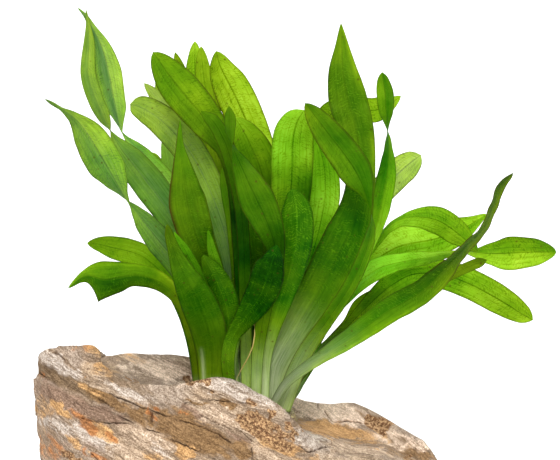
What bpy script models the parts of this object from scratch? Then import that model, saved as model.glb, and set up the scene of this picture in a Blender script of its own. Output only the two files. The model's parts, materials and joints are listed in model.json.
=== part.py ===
"""An aquarium plant with strap-shaped leaves, growing in the hollow of a petrified-wood stone.

Metres, +Z up. The origin is on the stone's flat underside, below the plant's crown.
The front, where the stone's long ridge is, faces -Y.

Every leaf is drawn in the front elevation, as a grower would sketch it: how far across and how
high a point appears, and how deep it lies behind the sheet. The leaves are laid down from the
front of the clump to its back, and each is moved back until it clears those before it.
"""

import math
from typing import NamedTuple

import bmesh
import bpy
import numpy as np
from mathutils import Vector, noise

MM = 0.001

# The front elevation: the sheet leans back with the line of sight, which looks down a little.
SIGHT_TILT = math.radians(8.0)
SIGHT_DISTANCE = 1100.0
SHEET_MIDDLE = (15.0, 145.0)

# Spacing of the leaves.
SHEET_CELL = 1.0
SHEET_LOW = (-125.0, 30.0)
SHEET_CELLS = (300, 240)
CLEAR_DEPTH = 0.8
SHIFT_REACH = 34.0
LONGEST_STEP = 13.0
WIDEST_TURN = 38.0

# Leaf thickness at the midrib, from the foot to the tip.
FOOT_THICKNESS = 1.5
BLADE_THICKNESS = 0.8
TIP_THICKNESS = 0.5
PETIOLE_SHARE = 0.45
FOOT_HALF_WIDTH = 2.4
TOUCH_GAP = 0.3

# The crown: a short thick rootstock lying along the hollow.
CROWN_MIDDLE = (-4.0, 5.0)
CROWN_HALF_LENGTH = 27.5
CROWN_HALF_DEPTH = 21.0
CROWN_HEIGHT = 9.0
CROWN_TOP = 60.0
CROWN_FALL = 0.17
CROWN_ROUNDING = 2.8
CROWN_SQUARENESS = 4.0
CROWN_SCARS = 11
CROWN_SCAR_DEPTH = 0.8
CROWN_SIDES = 44

# The stone, as cross-sections from its left end to its right end. Each row holds, in
# millimetres: the place along X, the front ridge's height, the back ridge's height and
# the back ridge's depth.
STONE_SECTIONS = (
    (-103.0, 80.0, 68.0, 22.0),
    (-99.0, 88.0, 76.0, 26.0),
    (-93.0, 92.0, 80.0, 30.0),
    (-86.0, 96.5, 79.0, 36.0),
    (-78.0, 95.5, 77.0, 40.0),
    (-70.0, 86.0, 77.0, 41.0),
    (-60.0, 78.0, 77.0, 42.0),
    (-46.0, 76.5, 75.5, 42.0),
    (-30.0, 80.0, 76.5, 42.0),
    (-17.0, 79.3, 74.0, 42.0),
    (-6.0, 77.0, 70.0, 41.0),
    (4.0, 72.5, 65.5, 40.0),
    (13.0, 69.0, 61.0, 40.0),
    (22.0, 61.5, 56.0, 40.0),
    (32.0, 52.5, 53.0, 38.0),
    (44.0, 45.5, 51.5, 35.0),
    (55.0, 41.5, 52.5, 32.0),
    (66.0, 39.0, 47.5, 29.0),
    (77.0, 35.0, 41.5, 25.0),
    (87.0, 31.0, 37.5, 21.0),
    (95.0, 27.0, 34.5, 18.0),
    (100.0, 23.0, 30.0, 15.0),
    (104.5, 18.0, 24.5, 12.0),
)
STONE_FRONT_FOOT = -54.0
STONE_FRONT_BELLY = -63.0
STONE_RIDGE_DEPTH = -34.0
STONE_BACK_FOOT = 52.0
STONE_BACK_BELLY = 62.0
HOLLOW_FRONT = -21.0
HOLLOW_BACK = 31.0
HOLLOW_RIM = 8.0
HOLLOW_REACH = (34.0, 74.0)
SECTION_COUNT = 34
PROFILE_POINTS = 37
UNDERSIDE_POINTS = 5
END_RINGS = ((0.93, 1.2), (0.76, 2.6), (0.5, 3.6), (0.24, 4.0))
END_REACH = 4.2
STONE_END_TAPER = 0.13
STONE_HALF_LENGTH = 112.0
STONE_PLAN_SQUARENESS = 3.0
BEDDING_NORMAL = Vector((0.36, -0.3, 0.88)).normalized()
BEDDING_PERIOD = 23.0
BEDDING_STEP = 4.4
BEDDING_LEDGE = 0.32
BEDDING_WARP = 5.0
LUMP_SIZE = 30.0
LUMP_HEIGHT = 3.4
SMOOTH_BY_CROWN = 12.0


class Leaf(NamedTuple):
    """A leaf, laid down after those before it in LEAVES.

    foot is the place on the crown in X and Y. Each point of route gives how far across and how
    high it appears, its depth, its half width, and how far the blade turns about its midrib.
    cup is how far the margins curl towards the front, as a share of the half width.
    """

    name: str
    finish: str
    foot: tuple
    route: tuple
    cup: float = 0.14
    foot_half_width: float = FOOT_HALF_WIDTH


LEAVES = (
    Leaf("old_stalk", "stalk", (-8.0, -11.0), (
        (-6.5, 71, -13, 0.5, 0), (-4.5, 75, -15, 0.5, 0), (-1, 81, -17, 0.5, 0),
        (1.5, 87, -18, 0.5, 0), (2.4, 93, -18, 0.5, 0), (2, 99, -18, 0, 0),
    ), cup=0.0, foot_half_width=0.6),
    Leaf("leaf_sweeping_right", "leaf_deep", (10.0, -9.0), (
        (18, 68, -13, 3.2, 0), (35, 81, -21, 3.6, 0), (51, 91.5, -28, 5, 0),
        (70, 105, -33, 6.5, 0), (87, 115, -36, 6.2, 10), (99, 127, -36, 5.6, 42),
        (109, 138, -35, 5, 64), (116.5, 146, -34, 5, 62), (121.5, 157.5, -34, 4.4, 66),
        (125.5, 167.5, -36, 3.6, 52), (131.5, 173.5, -38, 0, 40),
    ), cup=0.2),
    Leaf("leaf_spoon_front", "leaf_shade", (-9.0, -9.0), (
        (-11, 82, -17, 3.5, 0), (-9, 91, -25, 3.6, 0), (-1, 103, -36, 6.2, 0),
        (6, 114, -46, 8.3, 0), (9.5, 125, -53, 7.8, 0), (12, 132, -56, 4.6, 0),
        (13.5, 137.5, -57, 0, 0),
    ), cup=-0.12),
    Leaf("leaf_front_left", "leaf_deep", (-19.0, -8.0), (
        (-19, 83, -15, 8, 0), (-21.5, 97.5, -25, 9.2, 0), (-27, 111, -35, 8.6, 0),
        (-33.5, 124, -43, 5.8, 0), (-38, 135, -47, 3.3, 0), (-40.5, 143, -48, 2.2, 0),
        (-41.5, 148, -47, 0, 0),
    ), cup=-0.16, foot_half_width=5.0),
    Leaf("leaf_bright_sliver", "leaf_bright", (-20.0, -5.9), (
        (-18.5, 87.5, -13, 2.2, 0), (-21.5, 107.5, -24, 2.8, 0), (-27, 124, -34, 3, 0),
        (-32.5, 135, -40, 2.4, 0), (-38, 144, -43, 0, 0),
    ), foot_half_width=1.4),
    Leaf("leaf_front_veined", "leaf_shade", (-11.0, -5.5), (
        (-11, 84, -12, 5, 0), (-10.5, 99, -21, 6.3, 0), (-14, 113, -31, 7, 0),
        (-19, 124, -38, 5.4, 0), (-23.5, 132.5, -41, 0, 0),
    ), cup=-0.14),
    Leaf("leaf_thin_sliver", "leaf_bright", (-6.6, -5.6), (
        (-9, 90, -10, 2, 0), (-13, 115, -22, 2.4, 0), (-17.5, 130, -31, 2.6, 0),
        (-19.3, 136, -34, 2.2, 0), (-21, 145, -37, 0, 0),
    ), foot_half_width=1.4),
    Leaf("leaf_drooping_left", "leaf_deep", (-25.0, -4.0), (
        (-27, 83, -5, 3, 0), (-31, 99, -9, 3, 0), (-37, 112, -14, 3.4, 0),
        (-46, 119.5, -19, 5, 0), (-58, 122.5, -25, 5.8, 0), (-72, 120.5, -31, 8.8, 0),
        (-82.5, 122, -35, 3, 0), (-91, 116, -38, 0, 0),
    ), cup=-0.3),
    Leaf("leaf_brown_edged", "leaf_deep", (-13.5, -3.5), (
        (-12, 84, -8, 4, 0), (-14, 105, -16, 5, 0), (-19.5, 122.5, -24, 7, 0),
        (-26, 140, -31, 8.5, 0), (-31, 157.5, -35, 9.6, 0), (-33.5, 174, -36, 5.6, 0),
        (-35, 187.5, -35, 2, 0), (-35, 200, -34, 0, 0),
    ), cup=0.22),
    Leaf("leaf_twisted_front", "leaf_mid", (3.0, -7.0), (
        (4, 84, -13, 3, 0), (8, 107.5, -26, 3.5, 0), (13.5, 130, -40, 3.7, 0),
        (10.5, 144, -44, 6.8, 0), (3.5, 160, -44, 9, 0), (-3, 174, -42, 5.8, 10),
        (-8.5, 186, -40, 3.6, 75), (-10, 194, -40, 3.4, 130), (-10, 200.5, -41, 3.1, 165),
        (-10.5, 207, -42, 0, 180),
    )),
    Leaf("leaf_front_middle", "leaf_shade", (7.0, -5.0), (
        (7, 82, -9, 4, 0), (11.5, 100, -18, 5.4, 0), (19.5, 122.5, -28, 7, 0),
        (23, 140, -35, 8.5, 0), (23.5, 152.5, -38, 8, 0), (22.5, 161, -39, 5, 0),
        (21, 165.5, -40, 0, 0),
    ), cup=-0.12),
    Leaf("leaf_folded_over", "leaf_olive", (15.5, -5.0), (
        (26.5, 82, -8, 3, 0), (38, 99, -13, 3.5, 0), (49, 115.5, -19, 3.6, 0),
        (56.5, 131, -24, 3.5, 10), (60, 143.5, -28, 3.4, 50), (60, 154.5, -31, 3.8, 95),
        (57, 165, -34, 6.2, 140), (52, 175.5, -36, 8.5, 170), (45.5, 185, -37, 8.2, 180),
        (38.5, 194, -37, 7.2, 180), (32.5, 202, -37, 5, 180), (27.5, 208.5, -37, 0, 180),
    ), cup=0.1, foot_half_width=3.0),
    Leaf("leaf_tall_right", "leaf_deep", (10.0, -3.5), (
        (12.5, 76, -6, 5.6, 0), (21, 92, -10, 7.8, 0), (30, 107, -13, 9.8, 0),
        (39, 123, -16, 10.8, 0), (48, 140, -18, 11.6, 0), (53.5, 157, -18, 8.4, 0),
        (55.5, 174, -16, 7.2, 0), (53.5, 192.5, -13, 8.8, 0), (49, 210, -10, 9.7, 0),
        (46.5, 225, -8, 7.2, 0), (46, 237.5, -6, 3.4, 0), (45.5, 248.5, -5, 0, 0),
    ), cup=0.16, foot_half_width=4.2),
    Leaf("leaf_far_left_twisted", "leaf_bright", (-17.0, -4.0), (
        (-18, 84, -6, 4, 0), (-23.5, 105, -9, 5, 0), (-32.5, 124, -13, 6.5, 0),
        (-44, 138, -17, 7, 0), (-53.5, 149.5, -20, 5.2, 20), (-60, 157.5, -22, 4, 75),
        (-65, 165.5, -23, 6.4, 128), (-73, 179, -24, 9.3, 168), (-81, 192.5, -24, 7.8, 180),
        (-89, 202, -23, 2.8, 180), (-95, 206, -22, 1.1, 215), (-99, 208.5, -22, 1.4, 230),
        (-102.5, 210.5, -22, 0, 235),
    )),
    Leaf("leaf_short_dark", "leaf_olive", (-1.5, -6.8), (
        (-2, 85, -9, 2, 0), (-2.5, 115, -15, 2.5, 0), (-3.5, 145, -21, 2.6, 0),
        (-6, 165, -25, 2.8, 0), (-9, 178, -27, 3.2, 0), (-13, 190, -29, 3.2, 0),
        (-19, 200, -31, 2.8, 0), (-24.5, 204.5, -32, 0, 0),
    ), foot_half_width=1.4),
    Leaf("leaf_upper_left_broad", "leaf_olive", (-1.0, -4.0), (
        (-2, 85, -5, 3.5, 0), (-3.5, 115, -8, 4, 0), (-5, 145, -12, 4.5, 0),
        (-7.5, 170, -16, 4.5, 0), (-12, 185, -18, 5, 0), (-19, 196, -21, 8, 0),
        (-28.5, 208, -23, 9.7, 0), (-38.5, 220, -24, 9, 0), (-45, 229, -24, 5.4, 0),
        (-48.5, 234, -24, 0, 0),
    ), cup=0.1),
    Leaf("leaf_dark_strap", "leaf_shade", (-5.0, -2.0), (
        (-5, 90, -3, 3, 0), (-5, 125, -5, 4.5, 0), (-8.5, 152.5, -8, 4, 0),
        (-12, 167.5, -9, 3, 0), (-14, 176, -9, 0, 0),
    )),
    Leaf("leaf_upper_left_low", "leaf_olive", (-8.0, -1.0), (
        (-8, 85, -3, 4, 0), (-7, 110, -6, 5, 0), (-11, 137.5, -9, 6, 0),
        (-19, 162.5, -11, 7.5, 0), (-29, 182.5, -12, 8, 0), (-40, 196, -12, 8, 0),
        (-50, 204, -12, 7, 0), (-56, 207, -12, 5.4, 0), (-60, 208, -12, 0, 0),
    )),
    Leaf("leaf_left_tall_front", "leaf_mid", (-13.0, 1.0), (
        (-14, 85, -1, 3.5, 0), (-19, 105, -2, 4.5, 0), (-26.5, 127.5, -4, 6, 0),
        (-36, 147.5, -6, 7.5, 0), (-47.5, 164, -8, 8.3, 0), (-58, 177.5, -10, 7.5, 0),
        (-65.5, 187, -11, 4.6, 30), (-69.5, 193.5, -11, 3.2, 85), (-73, 201, -11, 3.7, 145),
        (-78, 212.5, -10, 4.1, 175), (-81, 224, -9, 3.8, 180), (-80.5, 237.5, -8, 2.9, 180),
        (-81, 248, -7, 1.1, 180), (-82, 255.5, -6, 0, 180),
    )),
    Leaf("leaf_left_tall_back", "leaf_bright", (-9.5, 3.5), (
        (-11, 85, 3, 3, 0), (-16, 105, 4, 4, 0), (-23.5, 129, 5, 5, 0),
        (-33.5, 151, 4, 6, 0), (-44, 169, 2, 6.8, 0), (-53.5, 181, 0, 5.2, 0),
        (-60, 188.5, -2, 3.2, 45), (-64, 193.5, -3, 3, 88), (-66, 201, -4, 5, 130),
        (-68.5, 212.5, -4, 6, 170), (-70.5, 223, -5, 6.6, 180), (-74, 236, -5, 4.6, 180),
        (-79, 246.5, -5, 1.8, 180), (-83, 253, -6, 0.9, 180), (-86.5, 256.5, -6, 0, 180),
    )),
    Leaf("leaf_bluish_left", "leaf_mid", (-18.0, 2.0), (
        (-21, 87.5, 3, 3, 0), (-27.5, 115, 6, 4.5, 0), (-34, 142.5, 8, 5.5, 0),
        (-38, 165, 8, 6, 0), (-40, 180, 7, 4.6, 0), (-43.5, 191.5, 6, 0, 0),
    )),
    Leaf("leaf_middle_bright", "leaf_bright", (3.0, -1.0), (
        (4, 85, -1, 4, 0), (10, 110, -1, 5, 0), (16.5, 135, -2, 7.5, 0),
        (20, 157.5, -4, 9.5, 0), (21.2, 180, -7, 10.6, 0), (21.8, 192, -11, 10.2, 0),
        (24, 200, -16, 7.6, 0), (27, 205, -20, 0, 0),
    ), cup=0.05),
    Leaf("leaf_middle_right", "leaf_bright", (8.5, 0.5), (
        (12.5, 87.5, 2, 4, 0), (24, 112.5, 4, 5.5, 0), (32.5, 137.5, 6, 6.5, 0),
        (37.5, 162.5, 8, 7.6, 0), (36.5, 180, 9, 6, 0), (33.5, 190, 9, 3, 0),
        (31.5, 197.5, 8, 0, 0),
    )),
    Leaf("leaf_dark_middle", "leaf_shade", (0.0, 2.0), (
        (1, 90, 2, 3, 0), (2, 120, 3, 5, 0), (0, 145, 3, 6, 0),
        (-2, 165, 2, 5, 0), (-3.5, 177.5, 1, 0, 0),
    )),
    Leaf("leaf_upper_middle_dark", "leaf_olive", (1.5, 4.0), (
        (2.5, 87.5, 4, 3, 0), (7, 115, 5, 4, 0), (10, 142.5, 5, 5.5, 0),
        (7.5, 167.5, 3, 7.5, 0), (2, 184, 1, 7.6, 0), (-3.5, 195, -1, 5, 0),
        (-7.5, 201.5, -2, 0, 0),
    )),
    Leaf("leaf_thin_twisted_right", "leaf_mid", (16.5, 0.0), (
        (28.5, 81, 1, 2.2, 0), (40.5, 102.5, 2, 2.4, 0), (51.5, 122.5, 2, 2.8, 0),
        (61.5, 141.5, 1, 3, 0), (65.5, 157.5, 0, 5, 0), (68.5, 174, 0, 4.6, 10),
        (69, 186, 0, 3.6, 55), (68.5, 195, 0, 3.2, 90), (68, 203.5, 1, 4.2, 140),
        (67.5, 213.5, 2, 4.3, 180), (66.5, 220, 3, 3, 180), (66, 224, 3, 0, 180),
    )),
    Leaf("leaf_small_olive_right", "leaf_olive", (14.5, 2.0), (
        (32, 79.5, 4, 2, 0), (50, 90.5, 6, 2.2, 0), (69, 103.5, 7, 2.4, 0),
        (87.5, 115.5, 6, 2.5, 0), (102.5, 123.5, 4, 2.6, 0), (114, 128.5, 3, 2.6, 0),
        (118.5, 130, 2, 0, 0),
    )),
    Leaf("leaf_arched_right", "leaf_bright", (17.5, 3.0), (
        (30, 85, 5, 2.2, 0), (43, 107.5, 8, 2.3, 0), (55, 129, 10, 2.5, -20),
        (64, 140.5, 11, 3.4, -50), (74, 149.5, 11, 4.2, -55), (85, 151.5, 9, 5.6, -20),
        (94.5, 149.5, 7, 7, 0), (103, 144, 6, 6.4, 0), (109, 139, 6, 4, 0),
        (114, 134, 6, 0, 0),
    ), cup=-0.15),
    Leaf("leaf_long_right", "leaf_bright", (18.5, 5.5), (
        (26, 71, 7, 2.6, 0), (31.5, 85, 10, 2.6, 0), (42, 104, 13, 2.8, 0), (52.5, 117, 15, 4.4, 0),
        (64.5, 126, 17, 5.4, 0), (77.5, 129.5, 19, 4.4, 20), (92.5, 132, 21, 4, 50),
        (106, 134, 22, 4.2, 85), (117.5, 133.5, 22, 6.2, 135), (130, 133.5, 20, 8.6, 170),
        (142.5, 134, 17, 6.9, 180), (149.5, 134, 15, 3.8, 180), (153.5, 134, 13, 0, 180),
    )),
    Leaf("leaf_right_behind", "leaf_pale", (16.5, 8.0), (
        (31, 87.5, 14, 2.2, 0), (46, 110, 20, 2.8, 0), (61, 128.5, 25, 5, 0),
        (75, 137, 29, 7.5, 0), (90, 140, 32, 7.6, 0), (106, 145.5, 34, 5, 0),
        (118.5, 153, 35, 0, 0),
    )),
    Leaf("leaf_lower_right", "leaf_pale", (17.5, 10.5), (
        (33, 83, 17, 2.2, 0), (48, 96, 24, 2.6, 0), (63.5, 111.5, 31, 5, 0),
        (80, 122.5, 38, 7, 0), (97.5, 122.5, 43, 7.5, 0), (115, 115.5, 46, 7.6, 0),
        (129, 107.5, 47, 6.8, 0), (137, 102.5, 47, 4.6, 0), (141.5, 100, 47, 0, 0),
    ), cup=0.08),
    Leaf("leaf_small_dark_right", "leaf_olive", (18.0, 13.0), (
        (37, 86, 24, 2.2, 0), (48.5, 98, 29, 2.6, 0), (55.5, 107, 32, 4.2, 0),
        (64, 111, 35, 4.8, 0), (73, 110, 38, 4.4, 0), (82.5, 110, 40, 0, 0),
    )),
    Leaf("leaf_over_right", "leaf_pale", (10.5, 6.5), (
        (16, 90, 11, 3, 0), (27.5, 125, 19, 4.5, 0), (33.5, 160, 26, 6, 0),
        (35, 187.5, 31, 6.5, 0), (40, 202.5, 33, 6.2, 0), (51, 206, 34, 6, 0),
        (63, 205, 34, 6.2, 0), (70, 208, 33, 3.5, 0), (75.5, 212, 32, 0, 0),
    )),
    Leaf("leaf_pale_right_upper", "leaf_pale", (12.5, 9.0), (
        (20, 90, 14, 2.5, 0), (37.5, 120, 24, 3, 0), (54, 146, 34, 4.6, 0),
        (66.5, 165, 42, 6.6, 0), (76, 175, 47, 7.2, 0), (82, 180, 49, 5.2, 0),
        (85.5, 182.5, 50, 0, 0),
    )),
    Leaf("leaf_upper_middle_pale", "leaf_pale", (0.5, 7.5), (
        (1, 87.5, 10, 3, 0), (5, 120, 16, 4.5, 0), (8, 150, 21, 6, 0),
        (5.5, 177.5, 25, 7.6, 0), (-1.5, 199, 28, 8.4, 0), (-10, 217.5, 30, 8, 0),
        (-15, 227.5, 31, 5, 0), (-17, 234.5, 31, 0, 0),
    )),
    Leaf("leaf_olive_left_small", "leaf_olive", (-14.0, 8.0), (
        (-14, 95, 12, 2.5, 0), (-17.5, 135, 18, 3.5, 0), (-27.5, 177.5, 22, 3.5, 0),
        (-41, 202.5, 23, 3.5, 0), (-47.5, 212.5, 23, 3, 0), (-53, 218.5, 22, 0, 0),
    )),
    Leaf("leaf_lower_left", "leaf_mid", (-25.5, 4.0), (
        (-28.5, 85, 7, 2.5, 0), (-34, 105, 12, 3, 0), (-42, 121, 18, 4.5, 0),
        (-55, 132.5, 23, 6, 0), (-67.5, 136, 26, 5.8, 0), (-76, 138, 27, 3.6, 0),
        (-81.5, 138.5, 27, 0, 0),
    )),
    Leaf("leaf_pale_tip_left", "leaf_pale", (-18.0, 8.0), (
        (-19, 90, 12, 2.5, 0), (-27.5, 125, 17, 3.5, 0), (-37.5, 157.5, 20, 4, 0),
        (-44.5, 174, 21, 3.6, 0), (-48, 181, 21, 2.6, 0), (-49.5, 184, 21, 0, 0),
    )),
    Leaf("leaf_pale_gap", "leaf_pale", (-6.5, 8.0), (
        (-6, 90, 12, 2.5, 0), (-7.5, 120, 17, 3.5, 0), (-12.5, 150, 21, 4, 0),
        (-17, 167.5, 23, 4.2, 0), (-19.5, 175, 24, 3, 0), (-22, 182.5, 24, 0, 0),
    )),
    Leaf("leaf_back_grey", "leaf_mid", (-2.5, 9.5), (
        (-2, 87.5, 13, 2.6, 0), (-5, 120, 21, 3.6, 0), (-11, 160, 30, 5, 0),
        (-18, 195, 36, 5.6, 0), (-22.5, 217.5, 39, 4.8, 0), (-24, 230, 40, 3, 0),
        (-24.5, 237, 40, 0, 0),
    )),
    Leaf("leaf_back_pale", "leaf_pale", (-5.0, 11.5), (
        (-4, 87.5, 16, 2.6, 0), (-9, 125, 27, 3.6, 0), (-17.5, 170, 38, 4.6, 0),
        (-25, 205, 45, 5, 0), (-27.5, 225, 48, 4.6, 0), (-27.5, 234, 48, 2.9, 0),
        (-27.5, 239.5, 48, 0, 0),
    )),
    Leaf("leaf_pale_vertical", "leaf_pale", (-11.0, 10.5), (
        (-12.5, 100, 18, 2.6, 0), (-22.5, 150, 28, 3.6, 0), (-35, 190, 33, 3.6, 0),
        (-44, 211, 34, 3, 0), (-47, 221, 34, 0, 0),
    )),
    Leaf("leaf_back_tip", "leaf_pale", (-8.5, 12.5), (
        (-9, 110, 22, 3, 0), (-19, 160, 36, 4, 0), (-29, 205, 47, 3.6, 0),
        (-35, 225, 51, 3, 0), (-37.5, 234, 52, 0, 0),
    )),
    Leaf("leaf_rear_middle", "leaf_bright", (0.0, 12.0), (
        (-3, 95, 24, 3.2, 0), (-7, 125, 42, 5.2, 0), (-5, 150, 60, 8, 0),
        (0, 162, 75, 6.6, 0), (4, 165, 87, 0, 0),
    ), cup=0.2),
    Leaf("leaf_rear_right", "leaf_mid", (5.5, 12.0), (
        (8.5, 95, 24, 3.2, 0), (18, 125, 42, 5.6, 0), (26, 150, 60, 8, 0),
        (28.5, 167, 75, 6.6, 0), (27.5, 176, 87, 0, 0),
    ), cup=0.2),
    Leaf("leaf_rear_far_right", "leaf_deep", (11.5, 14.0), (
        (20, 92.5, 24, 3.2, 0), (37.5, 115, 40, 5.6, 0), (50, 132.5, 56, 7, 0),
        (55, 145, 69, 5.4, 0), (56, 155, 79, 0, 0),
    ), cup=0.2),
    Leaf("leaf_rear_left", "leaf_mid", (-22.5, 8.0), (
        (-24, 95, 24, 3.4, 0), (-27.5, 117.5, 40, 5.6, 0), (-31, 135, 56, 6.6, 0),
        (-31, 150, 69, 5.6, 0), (-29.5, 161, 78, 0, 0),
    ), cup=0.2),
    Leaf("leaf_rear_low_left", "leaf_mid", (-23.0, 12.0), (
        (-23, 88, 27, 3.2, 0), (-20, 105, 44, 6, 0), (-16, 117.5, 60, 7, 0),
        (-14, 127, 74, 5, 0), (-13, 133, 83, 0, 0),
    ), cup=0.2),
    Leaf("leaf_rear_low", "leaf_deep", (4.5, 16.0), (
        (3, 88, 30, 3.2, 0), (4, 101, 48, 6, 0), (6, 110, 64, 7, 0),
        (8, 115, 78, 5, 0), (9, 117.5, 88, 0, 0),
    ), cup=0.2),
)

# Colour, roughness and metallic value of each finish.
FINISHES = {
    "stone": ((0.62, 0.50, 0.40), 0.85),
    "crown": ((0.66, 0.66, 0.38), 0.55),
    "stalk": ((0.45, 0.36, 0.12), 0.6),
    "leaf_shade": ((0.03, 0.14, 0.01), 0.38),
    "leaf_deep": ((0.09, 0.24, 0.012), 0.38),
    "leaf_mid": ((0.13, 0.32, 0.03), 0.38),
    "leaf_olive": ((0.20, 0.34, 0.02), 0.4),
    "leaf_bright": ((0.24, 0.52, 0.03), 0.36),
    "leaf_pale": ((0.36, 0.56, 0.08), 0.4),
}


def smooth_through(knots, values, at):
    """Values, at the places in `at`, of the smooth curve that has these values at the knots."""
    knots = np.asarray(knots, float)
    values = np.asarray(values, float)
    slope = np.diff(values, axis=0) / np.diff(knots)[:, None]
    tangent = np.empty_like(values)
    tangent[1:-1] = (slope[1:] + slope[:-1]) / 2
    tangent[0], tangent[-1] = slope[0], slope[-1]
    i = np.clip(np.searchsorted(knots, at, side="right") - 1, 0, len(knots) - 2)
    length = (knots[i + 1] - knots[i])[:, None]
    t = ((at - knots[i]) / length[:, 0])[:, None]
    return (
        (2 * t**3 - 3 * t**2 + 1) * values[i]
        + (t**3 - 2 * t**2 + t) * length * tangent[i]
        + (3 * t**2 - 2 * t**3) * values[i + 1]
        + (t**3 - t**2) * length * tangent[i + 1]
    )


def sheet_point(across, up):
    """Where a point of the front elevation lies on the leaning sheet."""
    return np.stack([across, up * math.sin(SIGHT_TILT), up * math.cos(SIGHT_TILT)], axis=-1)


def eye_point():
    """The eye that the front elevation is drawn for."""
    middle = sheet_point(np.float64(SHEET_MIDDLE[0]), np.float64(SHEET_MIDDLE[1]))
    back = np.array([0.0, -math.cos(SIGHT_TILT), math.sin(SIGHT_TILT)])
    return middle + back * SIGHT_DISTANCE


def placed(drawn):
    """Points drawn as (across, up, depth), moved along the line of sight to their depth."""
    eye = eye_point()
    on_sheet = sheet_point(drawn[..., 0], drawn[..., 1])
    ray = on_sheet - eye
    share = (drawn[..., 2] - eye[1]) / ray[..., 1]
    return eye + ray * share[..., None]


def drawn_from(point):
    """The (across, up, depth) at which a real point is drawn."""
    eye = eye_point()
    back = np.array([0.0, -math.cos(SIGHT_TILT), math.sin(SIGHT_TILT)])
    ray = np.asarray(point, float) - eye
    on_sheet = eye + ray * (SIGHT_DISTANCE / -(ray @ back))
    up = on_sheet @ np.array([0.0, math.sin(SIGHT_TILT), math.cos(SIGHT_TILT)])
    return (on_sheet[0], up, point[1])


def crown_top(x):
    """Height of the crown's top face at X, in millimetres."""
    return CROWN_TOP - CROWN_FALL * (x - CROWN_MIDDLE[0])


def stations_of(leaf):
    """The leaf's cross-sections: rows of (across, up, depth, half width, turn), from foot to tip."""
    x, y = leaf.foot
    foot = drawn_from((x, y, crown_top(x) + TOUCH_GAP))
    rows = np.array([(*foot, leaf.foot_half_width, leaf.route[0][4]), *leaf.route], float)
    spans = np.linalg.norm(np.diff(rows[:, :3], axis=0), axis=1)
    knots = np.concatenate([[0.0], np.cumsum(spans)])
    at = [0.0]
    for i, span in enumerate(spans):
        turn = abs(rows[i + 1, 4] - rows[i, 4])
        steps = max(1, math.ceil(span / LONGEST_STEP), math.ceil(turn / WIDEST_TURN))
        at.extend(knots[i] + span * (k + 1) / steps for k in range(steps))
    stations = smooth_through(knots, rows, np.array(at))
    stations[:, 3] = np.maximum(stations[:, 3], 0.35)
    return stations


def rings_of(leaf):
    """The leaf's skin in the elevation: left margin, front midrib, right margin, back midrib."""
    rows = stations_of(leaf)
    points = rows[:, :3]
    tangent = np.gradient(points, axis=0)
    tangent[0] = (0.0, 1.0, 0.0)
    tangent /= np.linalg.norm(tangent, axis=1)[:, None]
    side = np.cross(np.array([0.0, 0.0, -1.0]), tangent)
    side /= np.linalg.norm(side, axis=1)[:, None]
    facing = np.cross(side, tangent)
    facing *= np.sign(facing[:, 2:3])
    turn = np.radians(rows[:, 4])[:, None]
    width = rows[:, 3:4]
    wide = (side * np.cos(turn) + facing * np.sin(turn)) * width
    normal = facing * np.cos(turn) - side * np.sin(turn)
    share = np.linspace(0.0, 1.0, len(rows))
    thick = np.interp(
        share, [0.0, PETIOLE_SHARE, 1.0], [FOOT_THICKNESS, BLADE_THICKNESS, TIP_THICKNESS]
    )[:, None]
    curl = -normal * leaf.cup * width
    rings = np.stack(
        [points - wide + curl, points - normal * thick / 2, points + wide + curl,
         points + normal * thick / 2],
        axis=1,
    )
    rings[-1] = points[-1]
    return rings


def spread_over(first, second):
    """Points spread over the triangles between two rows of margin, midrib and margin points."""
    reach = max(np.linalg.norm(first - second, axis=1).max(), SHEET_CELL)
    width = max(np.linalg.norm(np.diff(first, axis=0), axis=1).max(),
                np.linalg.norm(np.diff(second, axis=0), axis=1).max(), SHEET_CELL)
    along = np.linspace(0, 1, 2 + int(reach / (0.6 * SHEET_CELL)))
    across = np.linspace(0, 1, 2 + int(width / (0.6 * SHEET_CELL)))
    s, t = (grid.reshape(-1, 1) for grid in np.meshgrid(across, along))
    points = []
    for margin in (0, 2):
        low, high = first[margin], second[margin]
        above = low + t * (high - low) + s * (second[1] - high)
        below = low + s * (first[1] - low) + t * (second[1] - first[1])
        points.append(np.where(s <= t, above, below))
    return np.concatenate(points)


def cells_of(points):
    """The sheet's cells that these points fall in."""
    cells = np.round((points[:, :2] - np.array(SHEET_LOW)) / SHEET_CELL).astype(int)
    return np.clip(cells[:, 0], 1, SHEET_CELLS[0] - 2), np.clip(cells[:, 1], 1, SHEET_CELLS[1] - 2)


def laid_down(leaves):
    """Each leaf's rings, moved back along the line of sight until they clear the leaves before it."""
    taken = np.full(SHEET_CELLS, -1e6)
    laid = {}
    for leaf in leaves:
        rings = rings_of(leaf)
        front, back = [0, 1, 2], [0, 3, 2]
        need = np.zeros(len(rings))
        for i in range(len(rings) - 1):
            points = spread_over(rings[i][front], rings[i + 1][front])
            lack = (taken[cells_of(points)] + CLEAR_DEPTH - points[:, 2]).max()
            need[i : i + 2] = np.maximum(need[i : i + 2], lack)
        steps = np.linalg.norm(np.diff(rings[:, 1], axis=0), axis=1)
        place = np.concatenate([[0.0], np.cumsum(steps)])
        apart = np.abs(place[:, None] - place) / SHIFT_REACH
        shift = (need * np.clip(1.0 - apart**2, 0.0, 1.0) ** 2).max(axis=1)
        rings[:, :, 2] += shift[:, None]
        for i in range(len(rings) - 1):
            points = spread_over(rings[i][back], rings[i + 1][back])
            column, row = cells_of(points)
            for dx in (-1, 0, 1):
                for dy in (-1, 0, 1):
                    np.maximum.at(taken, (column + dx, row + dy), points[:, 2])
        laid[leaf.name] = rings
    return laid


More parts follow.
